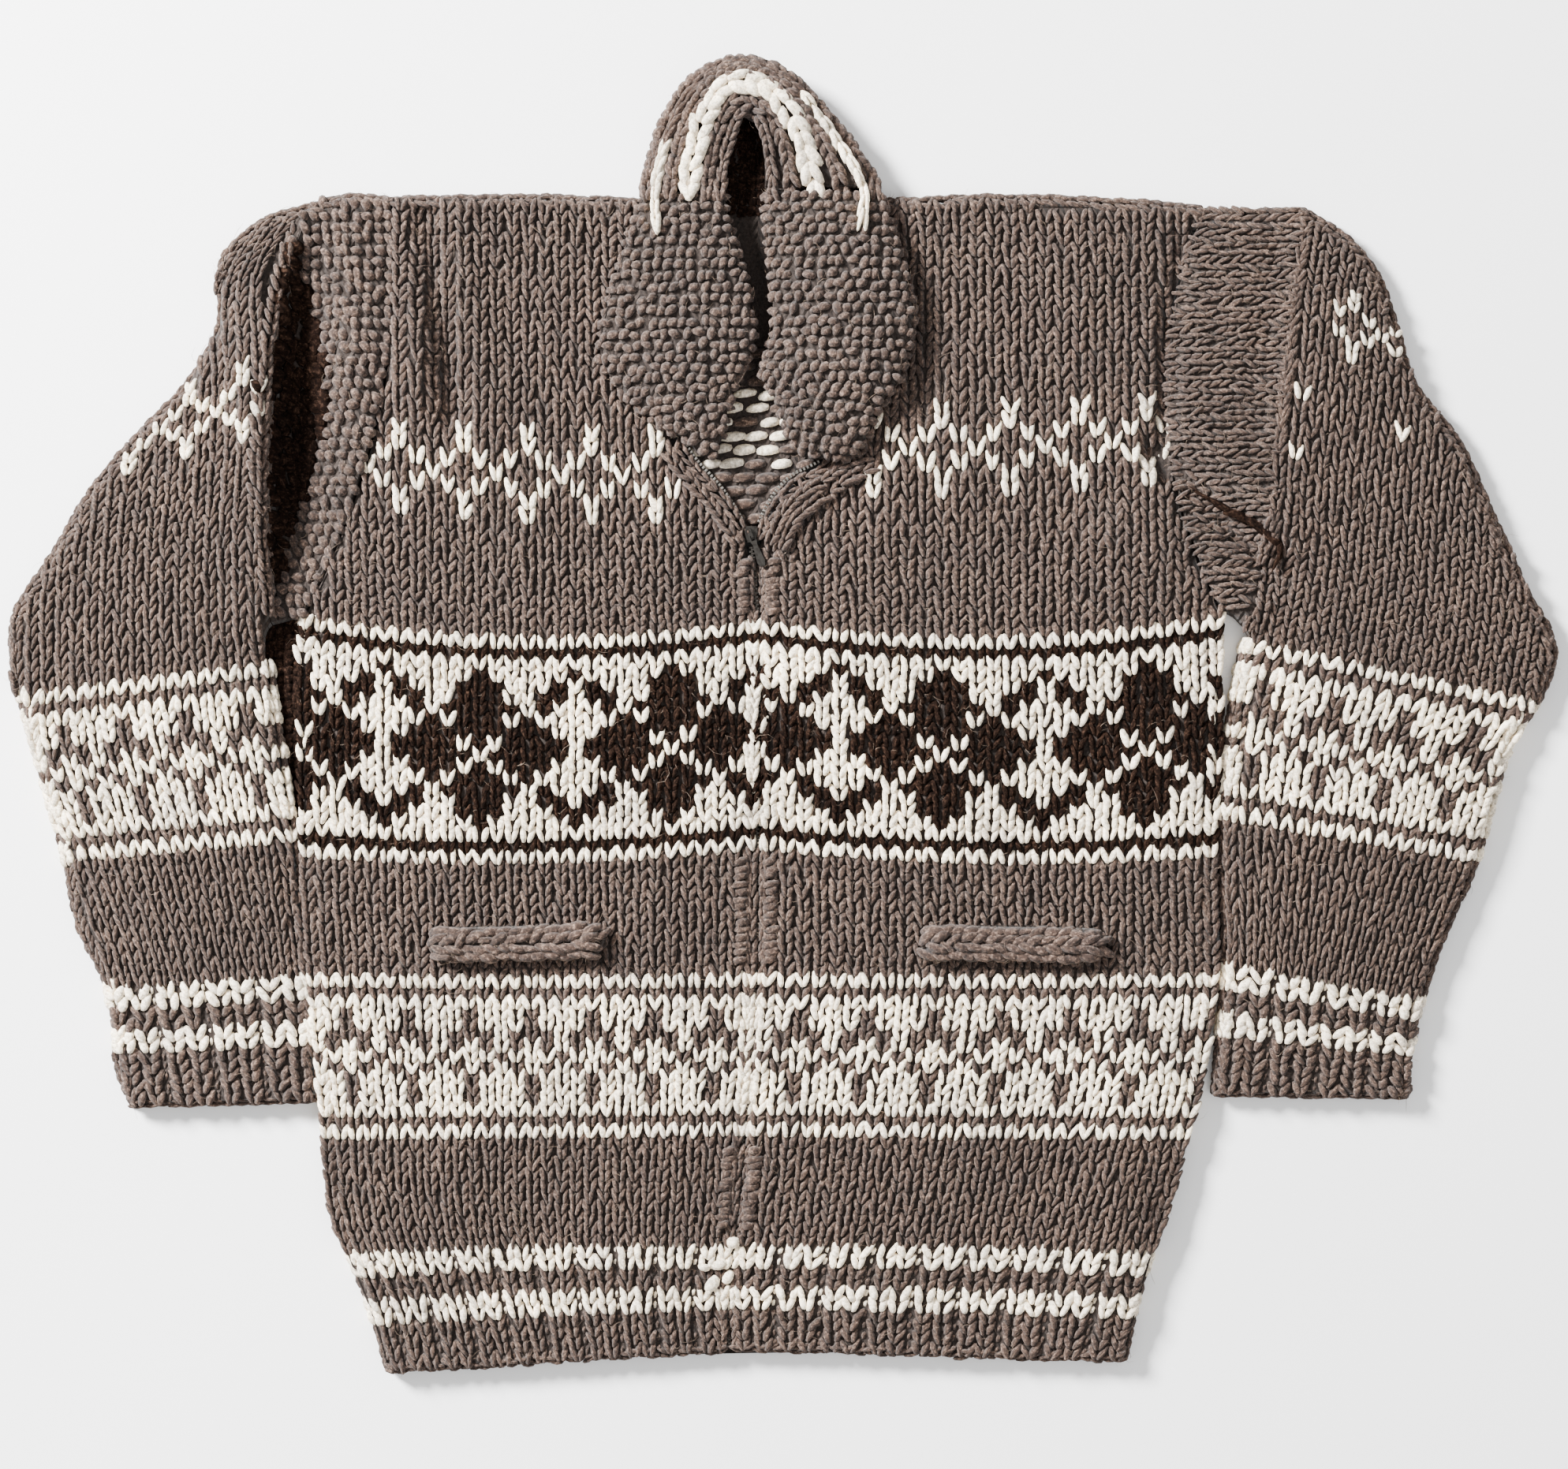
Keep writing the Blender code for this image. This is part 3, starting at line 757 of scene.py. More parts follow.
@dataclass
class StitchMesh:
    """Turns runs of stitches into one joined mesh for each yarn."""

    seed: int
    lean: float = 0.07
    slip: float = 0.048
    swell: float = 0.10
    rise: float = 0.25
    mottle: float = 0.17

    def build(
        self, name: str, run: Stitches, shape: LegShape, yarn: YarnFinish, mirrored: bool = True
    ) -> bpy.types.Object:
        """Make one object out of a run of stitches.

        Args:
            name: the piece's name.
            run: the stitches.
            shape: the form of a leg.
            yarn: the yarn that they are knitted in.
            mirrored: whether each stitch has a left leg too.

        Returns:
            The piece, riding on the garment.
        """
        rng = np.random.default_rng(self.seed + sum(map(ord, name)))
        template, faces, places = shape.points()
        hands = (1.0, -1.0) if mirrored else (1.0,)
        chunks = [self._legs(run, template, hand, rng) for hand in hands]
        verts = np.concatenate(chunks) * MM
        legs = len(verts) // len(template)
        offsets = np.arange(legs) * len(template)
        split = len(run.middle)
        loops: list[Array] = []
        corner_places: list[Array] = []
        for face in faces:
            index = np.array(face)
            corners = index[None, :] + offsets[:, None]
            place = np.broadcast_to(places[index], (legs, len(face), PAIR)).copy()
            if len(face) == 4 and {0, shape.sides - 1} <= set((index - 1) % shape.sides):
                # The last face round the leg ends where the first one starts.
                place[..., 1][place[..., 1] == 0.0] = 1.0
            if mirrored:
                corners[split:] = corners[split:, ::-1]
                place[split:] = place[split:, ::-1]
            loops.append(corners)
            corner_places.append(place)
        tone = self._tones(run, legs, rng)
        start = rng.uniform(0.0, FIBRE_REACH, (legs, 1, PAIR))
        mesh = filled_mesh(name, verts, loops)
        add_yarn(mesh, corner_places, start, tone, yarn)
        mesh.shade_smooth()
        LOG.info("%s: %d stitches", name, split)
        return riding(name, mesh)

    def _legs(self, run: Stitches, template: Array, hand: float, rng: np.random.Generator) -> Array:
        """Place one hand's legs, each a little uneven."""
        count = len(run.middle)
        lean = rng.normal(0.0, self.lean, (count, 1))
        shift = rng.normal(0.0, self.slip, (count, PAIR))
        size = 1.0 + rng.normal(0.0, self.swell, (count, 3)).clip(-0.3, 0.3)
        lift = rng.normal(0.0, self.rise, (count, 1))
        a = template[None, :, 0] * size[:, :1]
        u = template[None, :, 1] * (1.0 + 0.5 * (size[:, 1:2] - 1.0))
        n = template[None, :, 2] * size[:, 2:3] + lift
        a = (a + lean * u) * hand + shift[:, :1]
        u = u + shift[:, 1:]
        turned = np.sum(np.cross(run.across, run.up) * run.facing, axis=1) < 0.0
        across = np.where(turned[:, None], -run.across, run.across)
        places = (
            run.middle[:, None, :]
            + a[:, :, None] * across[:, None, :]
            + u[:, :, None] * run.up[:, None, :]
            + n[:, :, None] * run.facing[:, None, :]
        )
        return places.reshape(-1, 3)

    def _tones(self, run: Stitches, legs: int, rng: np.random.Generator) -> Array:
        """An uneven tone for each leg, in long soft patches as hand-spun yarn has."""
        hands = legs // len(run.middle)
        patch = np.sin(run.middle[:, 0] * 0.045 + 1.3 * np.sin(run.middle[:, 1] * 0.031))
        patch = np.tile(0.5 + 0.16 * patch, hands)
        return (patch + rng.normal(0.0, self.mottle, legs)).clip(0.0, 1.0)


@dataclass
class LooseHairs:
    """Coarse hairs that stand loose on the yarn, each a short bent strand."""

    seed: int
    share: float = 0.7
    longest: float = 15.0
    level: tuple[float, float] = (1.5, 37.5)
    rings: int = 4
    sides: int = 3

    def build(self, name: str, run: Stitches, yarn: YarnFinish) -> bpy.types.Object:
        """Scatter hairs over a run of stitches.

        Args:
            name: the piece's name.
            run: the stitches that they stand on.
            yarn: the hairs' finish.

        Returns:
            The piece, riding on the garment.
        """
        rng = np.random.default_rng(self.seed + sum(map(ord, name)))
        count = int(len(run.middle) * self.share)
        pick = rng.integers(0, len(run.middle), count)
        side = run.across[pick] / np.linalg.norm(run.across[pick], axis=1)[:, None]
        facing = run.facing[pick]
        ahead = np.cross(facing, side)
        start = run.middle[pick] + run.across[pick] * rng.uniform(-0.45, 0.45, (count, 1))
        start += facing * rng.uniform(0.9, 1.9, (count, 1))
        angle = rng.uniform(0.0, 2.0 * math.pi, (count, 1))
        bend = rng.normal(0.0, 1.1, (count, 1))
        length = 2.5 + (self.longest - 2.5) * rng.random((count, 1)) ** 2.6
        lift = rng.uniform(0.0, 1.1, (count, 1))
        radius = rng.uniform(0.09, 0.17, (count, 1))
        verts = np.empty((count, self.rings, self.sides, 3))
        for ring in range(self.rings):
            s = ring / (self.rings - 1)
            turn = angle + bend * s
            way = side * np.cos(turn) + ahead * np.sin(turn)
            over = ahead * np.cos(turn) - side * np.sin(turn)
            place = start + length * s * way + facing * lift * math.sin(math.pi * s)
            size = radius * (1.0 - 0.7 * abs(2.0 * s - 1.0))
            for k in range(self.sides):
                around = 2.0 * math.pi * k / self.sides
                verts[:, ring, k] = place + size * (over * math.cos(around) + facing * math.sin(around))
        # Hairs that would reach under the floor or high above the cloth are left out.
        low = verts[..., 2].min(axis=(1, 2))
        high = verts[..., 2].max(axis=(1, 2))
        verts = verts[(low > self.level[0]) & (high < self.level[1])]
        count = len(verts)
        span = self.rings * self.sides
        faces: list[tuple[int, ...]] = []
        for ring in range(self.rings - 1):
            first = ring * self.sides
            for k in range(self.sides):
                m = (k + 1) % self.sides
                faces.append((first + k, first + m, first + self.sides + m, first + self.sides + k))
        faces += [tuple(reversed(range(self.sides))), tuple(range(span - self.sides, span))]
        offsets = np.arange(count)[:, None] * span
        loops = [np.array(face)[None, :] + offsets for face in faces]
        places = [
            np.random.default_rng(3).random((1, len(face), PAIR)).repeat(count, axis=0) for face in faces
        ]
        start = rng.uniform(0.0, FIBRE_REACH, (count, 1, PAIR))
        tone = rng.uniform(0.2, 1.0, count)
        mesh = filled_mesh(name, verts.reshape(-1, 3) * MM, loops)
        add_yarn(mesh, places, start, tone, yarn)
        LOG.info("%s: %d hairs", name, count)
        return riding(name, mesh)


Finish = YarnFinish | ClothFinish | MetalFinish | TapeFinish | FloorFinish
MATERIALS: dict[str, bpy.types.Material] = {}


def material_of(finish: Finish) -> bpy.types.Material:
    """The material of a finish, made once."""
    if finish.name not in MATERIALS:
        MATERIALS[finish.name] = finish.material()
    return MATERIALS[finish.name]


def lay(
    surface: Surface, middle: Array, across: Array, up: Array, shade: Array, raise_by: float = 0.0
) -> Stitches:
    """Lay stitches, known in plan, on a surface.

    Args:
        surface: what they lie on.
        middle: their middles in plan.
        across: their full widths in plan.
        up: their full heights in plan.
        shade: their yarns.
        raise_by: how far above the surface they lie.

    Returns:
        The stitches in space.
    """
    level, slope = surface.read(middle)
    place = np.column_stack((middle, level + raise_by))
    facing = np.column_stack((-slope, np.ones(len(slope))))
    facing /= np.linalg.norm(facing, axis=1)[:, None]
    rise = [np.column_stack((way, np.sum(way * slope, axis=1) * 0.8)) for way in (across, up)]
    return Stitches(place, rise[0], rise[1], facing, shade)


def edge_stitches(
    line: Array,
    level: Array,
    outward: Array,
    depth: float,
    shade: Array,
    tilt: float = 0.0,
    inset: float = 0.0,
) -> Stitches:
    """A wale that runs along an edge and faces out of it.

    Args:
        line: places in plan where one stitch ends and the next starts, one more than the stitches.
        level: height of each stitch's middle.
        outward: the way out of the edge, in plan, for each stitch.
        depth: how far the wale reaches from top to bottom.
        shade: the stitches' yarns.
        tilt: how far it leans back from the edge, in degrees.
        inset: how far in from the line it lies.

    Returns:
        The stitches in space.
    """
    step = np.diff(line, axis=0)
    out = outward / np.linalg.norm(outward, axis=1)[:, None]
    middle = line[:-1] + 0.5 * step - out * inset
    count = len(step)
    flat = np.zeros(count)
    lean = math.radians(tilt)
    facing = np.column_stack((out * math.cos(lean), np.full(count, math.sin(lean))))
    across = np.column_stack((-out * math.sin(lean), np.full(count, math.cos(lean)))) * depth
    return Stitches(np.column_stack((middle, level)), across, np.column_stack((step, flat)), facing, shade)


def turned_edge(
    line: Array, outward: Array, shade: Array, top: float = 12.6, proud: float = 0.0
) -> Stitches:
    """The wales that turn over an edge: one that leans back on its rim, and one that stands under it.

    Args:
        line: places in plan where one stitch ends and the next starts.
        outward: the way out of the edge for each stitch.
        shade: the stitches' yarns.
        top: height of the cloth beside the edge.
        proud: how far the wales stand out of the line.

    Returns:
        The stitches in space.
    """
    count = len(line) - 1
    rim = edge_stitches(line, np.full(count, top - 2.6), outward, 9.5, shade, 48.0, 2.4 - proud)
    wall = edge_stitches(line, np.full(count, top * 0.42), outward, top * 0.75, shade, 0.0, -proud)
    return Stitches.join((rim, wall))


def grey(count: int) -> Array:
    """The shades of a run of plain stitches."""
    return np.full(count, Shade.GREY.value)


def edge_chain(line: Array, level: float) -> Stitches:
    """The chain of loops along a hem or a cuff, leaning back on its edge."""
    count = len(line) - 1
    outward = np.tile((0.0, -1.0), (count, 1))
    run = edge_stitches(line, np.full(count, level), outward, 7.0, grey(count))
    run.facing[:] = (0.0, -0.6, 0.8)
    run.across[:] = np.array((0.0, 0.8, 0.6)) * 6.5
    return run


def painted_shade_bumps(low: tuple[float, float], high: tuple[float, float], pitch: float, level: float) -> Stitches:
    """A patch of purl bumps, flat and low, knitted in the dark brown yarn as painted shade.

    Args:
        low: its lower corner in plan.
        high: its upper corner.
        pitch: distance between bumps.
        level: its height.

    Returns:
        The bumps.
    """
    xs = np.arange(low[0], high[0], pitch)
    ys = np.arange(low[1], high[1], pitch * 0.85)
    grid_x, grid_y = (grid.ravel() for grid in np.meshgrid(xs, ys))
    count = len(grid_x)
    middle = np.column_stack((grid_x, grid_y, np.full(count, level)))
    across = np.tile((pitch * 1.5, 0.0, 0.0), (count, 1))
    up = np.tile((0.0, pitch * 1.7, 0.0), (count, 1))
    facing = np.tile((0.0, 0.0, 1.0), (count, 1))
    return Stitches(middle, across, up, facing, np.full(count, Shade.DARK.value))


def roughen(run: Stitches, slant: float, twist: float, slip: float) -> Stitches:
    """Turn and shift stitches a little, each its own way.

    Args:
        run: the stitches.
        slant: angle, in radians, by which every other stitch leans either way.
        twist: how much the angles vary.
        slip: how much the places vary, as a share of a stitch.

    Returns:
        The roughened stitches.
    """
    count = len(run.middle)
    rng = np.random.default_rng(count)
    sign = np.where(np.arange(count) % 2 == 0, 1.0, -1.0)[:, None]
    angle = rng.normal(0.0, twist, (count, 1)) + slant * sign
    across = run.across * np.cos(angle) + run.up * np.sin(angle)
    up = run.up * np.cos(angle) - run.across * np.sin(angle)
    middle = run.middle + across * rng.normal(0.0, slip, (count, 1)) + up * rng.normal(0.0, slip, (count, 1))
    return Stitches(middle, across, up, run.facing, run.shade)


def even_steps(points: Table, pitch: float) -> Array:
    """Places a given distance apart along a smooth line."""
    line = np.asarray(points, dtype=float)
    reach = np.linalg.norm(np.diff(line, axis=0), axis=1).sum()
    return even_curve(line, np.linspace(0.0, 1.0, max(2, int(reach / pitch)) + 1))


def left_of(line: Array) -> Array:
    """The way to the left of each step of a line."""
    step = np.diff(line, axis=0)
    return np.column_stack((-step[:, 1], step[:, 0]))


# ----------------------------------------
# Patterns


@dataclass(frozen=True)
class Chart:
    """A colour chart that repeats round a wale and is the same on both its sides.

    Rows go from the top; each starts at the middle wale.  '#' is cream and '.' is the ground.
    """

    rows: tuple[str, ...]
    repeat: int
    ground: Shade

    def shade(self, wale: int, centre: int, row: int) -> Shade:
        """The yarn of a stitch.

        Args:
            wale: the stitch's wale.
            centre: a wale at the middle of a motif.
            row: the row, counted up from the chart's lowest.

        Returns:
            Its yarn.
        """
        half = self.repeat // 2
        away = abs((wale - centre + half) % self.repeat - half)
        return Shade.CREAM if self.rows[len(self.rows) - 1 - row][away] == "#" else self.ground


DIAMONDS = Chart(
    (
        "#######",
        ".#####.",
        "..###.#",
        "..##..#",
        "...#.##",
        "..#.###",
        ".....##",
        ".#....#",
        "#.....#",
        ".#...##",
        "..#.###",
        "...#.##",
        "..##..#",
        "..###..",
        ".#####.",
        "#######",
    ),
    12,
    Shade.DARK,
)
SMALL_BAND = Chart(
    ("###", ".##", ".##", "..#", "#.#", "##.", "#.#", ".##", ".##", ".##", "###"), 4, Shade.GREY
)
CHEST_SPRIGS = Chart(("#..", "#..", ".#.", "..#", ".#.", "#..", "#.."), 4, Shade.GREY)


def rib_spread(wale: Array, ribbed: Array, gap: float) -> tuple[Array, Array]:
    """Where wales lie and how wide they are, counted in plain wales.

    In the rib, two knit wales spread over the purl wale that sinks between each pair.

    Args:
        wale: the wales.
        ribbed: which of them are in the rib.
        gap: how much of a wale's width is left to a purl wale.

    Returns:
        The wales' middles and widths.
    """
    group = wale // 3
    place = wale % 3
    knit = (3.0 - gap) / 2.0
    middle = np.choose(place, (0.5 * knit, 1.5 * knit, 3.0 - 0.5 * gap))
    width = np.choose(place, (knit, knit, gap))
    return np.where(ribbed, group * 3 + middle, wale + 0.5), np.where(ribbed, width, 1.0)


@dataclass(frozen=True)
class Bands:
    """Where the stripes and charts lie, in rows counted up from the edge of the rib."""

    cream_rows: tuple[int, ...]
    dark_rows: tuple[int, ...]
    charts: tuple[tuple[int, Chart, int], ...]
    rib_rows: int = 10
    gap: float = 0.42

    def shade(self, wale: int, row: int) -> Shade:
        """The yarn of the stitch in a wale and a row."""
        if row in self.cream_rows:
            return Shade.CREAM
        if row in self.dark_rows:
            return Shade.DARK
        for lowest, chart, centre in self.charts:
            if lowest <= row < lowest + len(chart.rows):
                return chart.shade(wale, centre, row - lowest)
        return Shade.GREY

    def sunken(self, wale: int, row: int) -> bool:
        """Whether the stitch is in one of the rib's purl wales."""
        return row < self.rib_rows and wale % 3 == 2


# ----------------------------------------
# Shells


@dataclass
class Shell:
    """The cloth under the stitches, a thin wall on the form of its solid."""

    node: str
    finish: ClothFinish
    flat: tuple[float, float]
    rests_on: tuple[str, ...]
    area: float | None = None
    inset: float = 0.9
    creases: tuple[Crease, ...] = ()

    @staticmethod
    def refine(mesh: bpy.types.Mesh, longest: float = 11.0) -> None:
        """Split a mesh's long edges, so that it can follow creases.

        Args:
            mesh: the mesh.
            longest: the length, in millimetres, above which an edge is split.
        """
        work = bmesh.new()
        work.from_mesh(mesh)
        for _ in range(4):
            edges = [edge for edge in work.edges if edge.calc_length() > longest * MM]
            if not edges:
                break
            bmesh.ops.subdivide_edges(work, edges=edges, cuts=1, use_grid_fill=True)
            bmesh.ops.triangulate(work, faces=[face for face in work.faces if len(face.verts) > 4])
        work.to_mesh(mesh)
        work.free()
        mesh.update()

    def build(self, with_pieces: Sequence[bpy.types.Object] = ()) -> bpy.types.Object:
        """Make the shell, and log its flat size.

        Args:
            with_pieces: the stitches that lie on it; not used.

        Returns:
            The shell.
        """
        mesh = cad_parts[self.node].data.copy()
        mesh.name = f"{self.node}_cloth"
        if self.creases:
            self.refine(mesh)
        normals = np.empty(len(mesh.vertices) * 3, dtype=np.float32)
        mesh.vertices.foreach_get("normal", normals)
        places = creased(mesh_places(mesh), self.creases) - self.inset * MM * normals.reshape(-1, 3)
        mesh.vertices.foreach_set("co", places.astype(np.float32).ravel())
        mesh.materials.clear()
        mesh.materials.append(material_of(self.finish))
        mesh.update()
        obj = riding(mesh.name, mesh)
        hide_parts(self.node)
        LOG.info("%s: cloth %.3f by %.3f m", obj.name, *self.flat)
        return obj


def knit_pieces(
    name: str, run: Stitches, ground: YarnFinish, maker: StitchMesh, form: Form = Form.V
) -> list[bpy.types.Object]:
    """Split a run of stitches by yarn, and make a piece of each.

    Args:
        name: the start of the pieces' names.
        run: the stitches.
        ground: the yarn of the plain stitches.
        maker: what turns them into meshes.
        form: what the stitches look like.

    Returns:
        The pieces.
    """
    shapes = {
        Form.V: {Shade.GREY: GREY_LEG, Shade.CREAM: CREAM_LEG, Shade.DARK: GREY_LEG},
        Form.BUMP: dict.fromkeys(Shade, PURL_BUMP),
        Form.GARTER: dict.fromkeys(Shade, GARTER_BUMP),
        Form.PLUMP: dict.fromkeys(Shade, PLUMP_LEG),
        Form.STRAND: dict.fromkeys(Shade, BRAID_STRAND),
    }
    yarns = {Shade.GREY: ground, Shade.CREAM: CREAM_YARN, Shade.DARK: DARK_YARN_AND_PAINTED_SHADE}
    pieces = []
    for shade, yarn in yarns.items():
        part = run.only(run.shade == shade.value)
        if len(part.middle):
            full_name = f"{name}_{shade.name.lower()}"
            two_legs = form in (Form.V, Form.PLUMP)
            pieces.append(maker.build(full_name, part, shapes[form][shade], yarn, two_legs))
    return pieces


# ----------------------------------------
# Fronts


@dataclass
class Front:
    """One front: its wales run up from the hem, and its rows sag a little between side and zip."""

    node: str
    bands: Bands
    side: Table
    opening: Table
    rows: Table
    outward: float
    covered_by: tuple[str, ...]
    gauge: float
    start: float
    shoulder: Table
    neck: Table
    neck_roll: tuple[tuple[float, float], ...]
    creases: tuple[Crease, ...] = ()
    selvedge_share: float = 0.022
    selvedge_span: tuple[float, float] = (-310.0, 96.0)
    wales: int = 29
    row_count: int = 104
    chest: float = 55.0
    zip_top: float = 100.0
    plain_neck: float = 8.0

    def row_line(self, share: Array, row: Array) -> Array:
        """How far up each place of a row lies, from the opening (0) to the side (1)."""
        table = smooth(self.rows, row)
        sag = table[:, 2] * 4 * share * (1 - share)
        return table[:, 1] + (table[:, 0] - table[:, 1]) * share + sag

    def place(self, share: Array, row: Array) -> Array:
        """Where a share of a row lies, in plan."""
        y = self.row_line(share, row)
        level = np.minimum(y, self.chest)
        side = smooth(self.side, level)[:, 0]
        opening = smooth(self.opening, level)[:, 0]
        return np.column_stack((opening + (side - opening) * share, y))

    def stitches(self) -> tuple[Stitches, Stitches]:
        """Lay every stitch of the front.

        Returns:
            The knit stitches, and the purl stitches sunk between the ribs.
        """
        wale, row = (grid.ravel() for grid in np.meshgrid(np.arange(self.wales), np.arange(self.row_count)))
        centre, width = rib_spread(wale, row < self.bands.rib_rows, self.bands.gap)
        share = (centre + self.start) / self.gauge
        half = 0.5 * width / self.gauge
        middle = self.place(share, row + 0.5)
        reach = half * self.outward
        across = self.place(share + reach, row + 0.5) - self.place(share - reach, row + 0.5)
        up = self.place(share, row + 1.0) - self.place(share, row)
        shade = np.array([self.bands.shade(i, r).value for i, r in zip(wale, row)])
        sunken = np.array([self.bands.sunken(i, r) for i, r in zip(wale, row)])
        surface = Surface([self.node], creases=self.creases)
        keep = (share < 1.0) & surface.covers(middle) & ~self.hidden(middle)
        run = lay(surface, middle[keep], across[keep], up[keep], shade[keep])
        sunken = sunken[keep]
        purl = run.only(sunken)
        purl.middle[:, 2] -= PURL_DROP
        return run.only(~sunken), purl

    def hidden(self, middle: Array, margin: float = 16.0) -> Array:
        """Which places lie well under the collar."""
        cover = Surface(self.covered_by)
        offsets = ((margin, 0.0), (-margin, 0.0), (0.0, margin), (0.0, -margin))
        return np.all([cover.covers(middle + offset) for offset in offsets], axis=0)

    def side_wale(self) -> Stitches:
        """The wales that turn over the side, down to the surface that the garment lies on."""
        row = np.arange(self.row_count + 1, dtype=float)
        line = self.place(np.ones(len(row)), row)
        line = line[line[:, 1] < self.chest + 8.0]
        count = len(line) - 1
        shade = np.array([self.bands.shade(self.wales, r).value for r in range(count)])
        return turned_edge(line, np.tile((self.outward, 0.0), (count, 1)), shade)

    def shoulder_wale(self) -> Stitches:
        """The chain of stitches along the shoulder."""
        line = even_steps(self.shoulder, 7.4)
        count = len(line) - 1
        outward = np.tile((0.0, 1.0), (count, 1))
        return turned_edge(line, outward, grey(count), 13.2)

    def neck_wales(self) -> Stitches:
        """The wales that roll along the neck edge beside the open zip."""
        line = even_steps(self.neck, 6.6)
        count = len(line) - 1
        outward = left_of(line) * self.outward
        shade = grey(count)
        rim = edge_stitches(line, np.full(count, 11.4), outward, 8.5, shade, 66.0, -2.2)
        rolls = [
            edge_stitches(line, np.full(count, level), outward, 9.0, shade, 70.0, inset)
            for inset, level in self.neck_roll
        ]
        return Stitches.join((rim, *rolls))

    def selvedge(self) -> Stitches:
        """The rough bumps beside the zip, where the front is plain."""
        row = np.arange(0.0, self.row_count, 0.66)
        line = self.place(np.full(len(row), self.selvedge_share), row)
        around = [(wale, step) for wale in (0, 1, 2) for step in (-1, 0, 1)]
        plain = np.array([
            all(self.bands.shade(wale, int(r) + step) is Shade.GREY for wale, step in around) for r in row
        ])
        low, high = self.selvedge_span
        line = line[plain & (line[:, 1] < high) & (line[:, 1] > low)]
        count = len(line)
        surface = Surface([self.node], creases=self.creases)
        across = np.tile((9.6, 0.0), (count, 1))
        up = np.tile((0.0, 5.6), (count, 1))
        run = lay(surface, line, across, up, grey(count), 1.0)
        return roughen(run, 0.14, 0.22, 0.06)

    def opening_wale(self) -> Stitches:
        """The wale that turns over beside the zip."""
        row = np.arange(self.row_count + 1, dtype=float)
        line = self.place(np.zeros(len(row)), row)
        line = line[line[:, 1] < self.zip_top]
        count = len(line) - 1
        shade = np.array([self.bands.shade(-1, r).value for r in range(count)])
        outward = np.tile((-self.outward, 0.0), (count, 1))
        run = edge_stitches(line, np.full(count, 10.2), outward, 7.0, shade, 34.0, 0.2)
        return roughen(run, 0.08, 0.12, 0.05)

    def cast_off(self, level: float, drop: float) -> Stitches:
        """The chain of loops along the hem.

        Args:
            level: height of its middle.
            drop: how far below the lowest row it lies.

        Returns:
            The chain's stitches.
        """
        count = int(self.wales * 1.25)
        line = self.place(np.linspace(0.0, 1.0, count + 1), np.zeros(count + 1))
        return edge_chain(line - (0.0, drop), level)

    def build(self, maker: StitchMesh) -> list[bpy.types.Object]:
        """Knit the front.

        Args:
            maker: what turns the stitches into meshes.

        Returns:
            Its pieces of knitting.
        """
        knit, purl = self.stitches()
        neck = even_steps(self.neck, 3.0)
        gap = np.linalg.norm(knit.middle[:, None, :PAIR] - neck[None], axis=2).min(axis=1)
        # No sprig starts right beside the neck edge.
        knit.shade[gap < self.plain_neck] = Shade.GREY.value
        knit = Stitches.join(
            (knit, self.side_wale(), self.opening_wale(), self.shoulder_wale(), self.neck_wales())
        )
        pieces = knit_pieces(f"{self.node}_knit", knit, GREY_YARN, maker)
        pieces += knit_pieces(f"{self.node}_purl", purl, GREY_YARN, maker, Form.BUMP)
        pieces += knit_pieces(f"{self.node}_selvedge", self.selvedge(), GREY_YARN, maker, Form.GARTER)
        pieces.append(LooseHairs(maker.seed).build(f"{self.node}_hairs", knit, HAIR))
        edge = Stitches.join((self.cast_off(11.4, 0.0), self.cast_off(7.6, -0.55), self.cast_off(3.6, -0.95)))
        edge = roughen(edge, 0.0, 0.16, 0.10)
        pieces += knit_pieces(f"{self.node}_hem", edge, GREY_YARN, maker)
        return pieces


# ----------------------------------------
# Sleeves


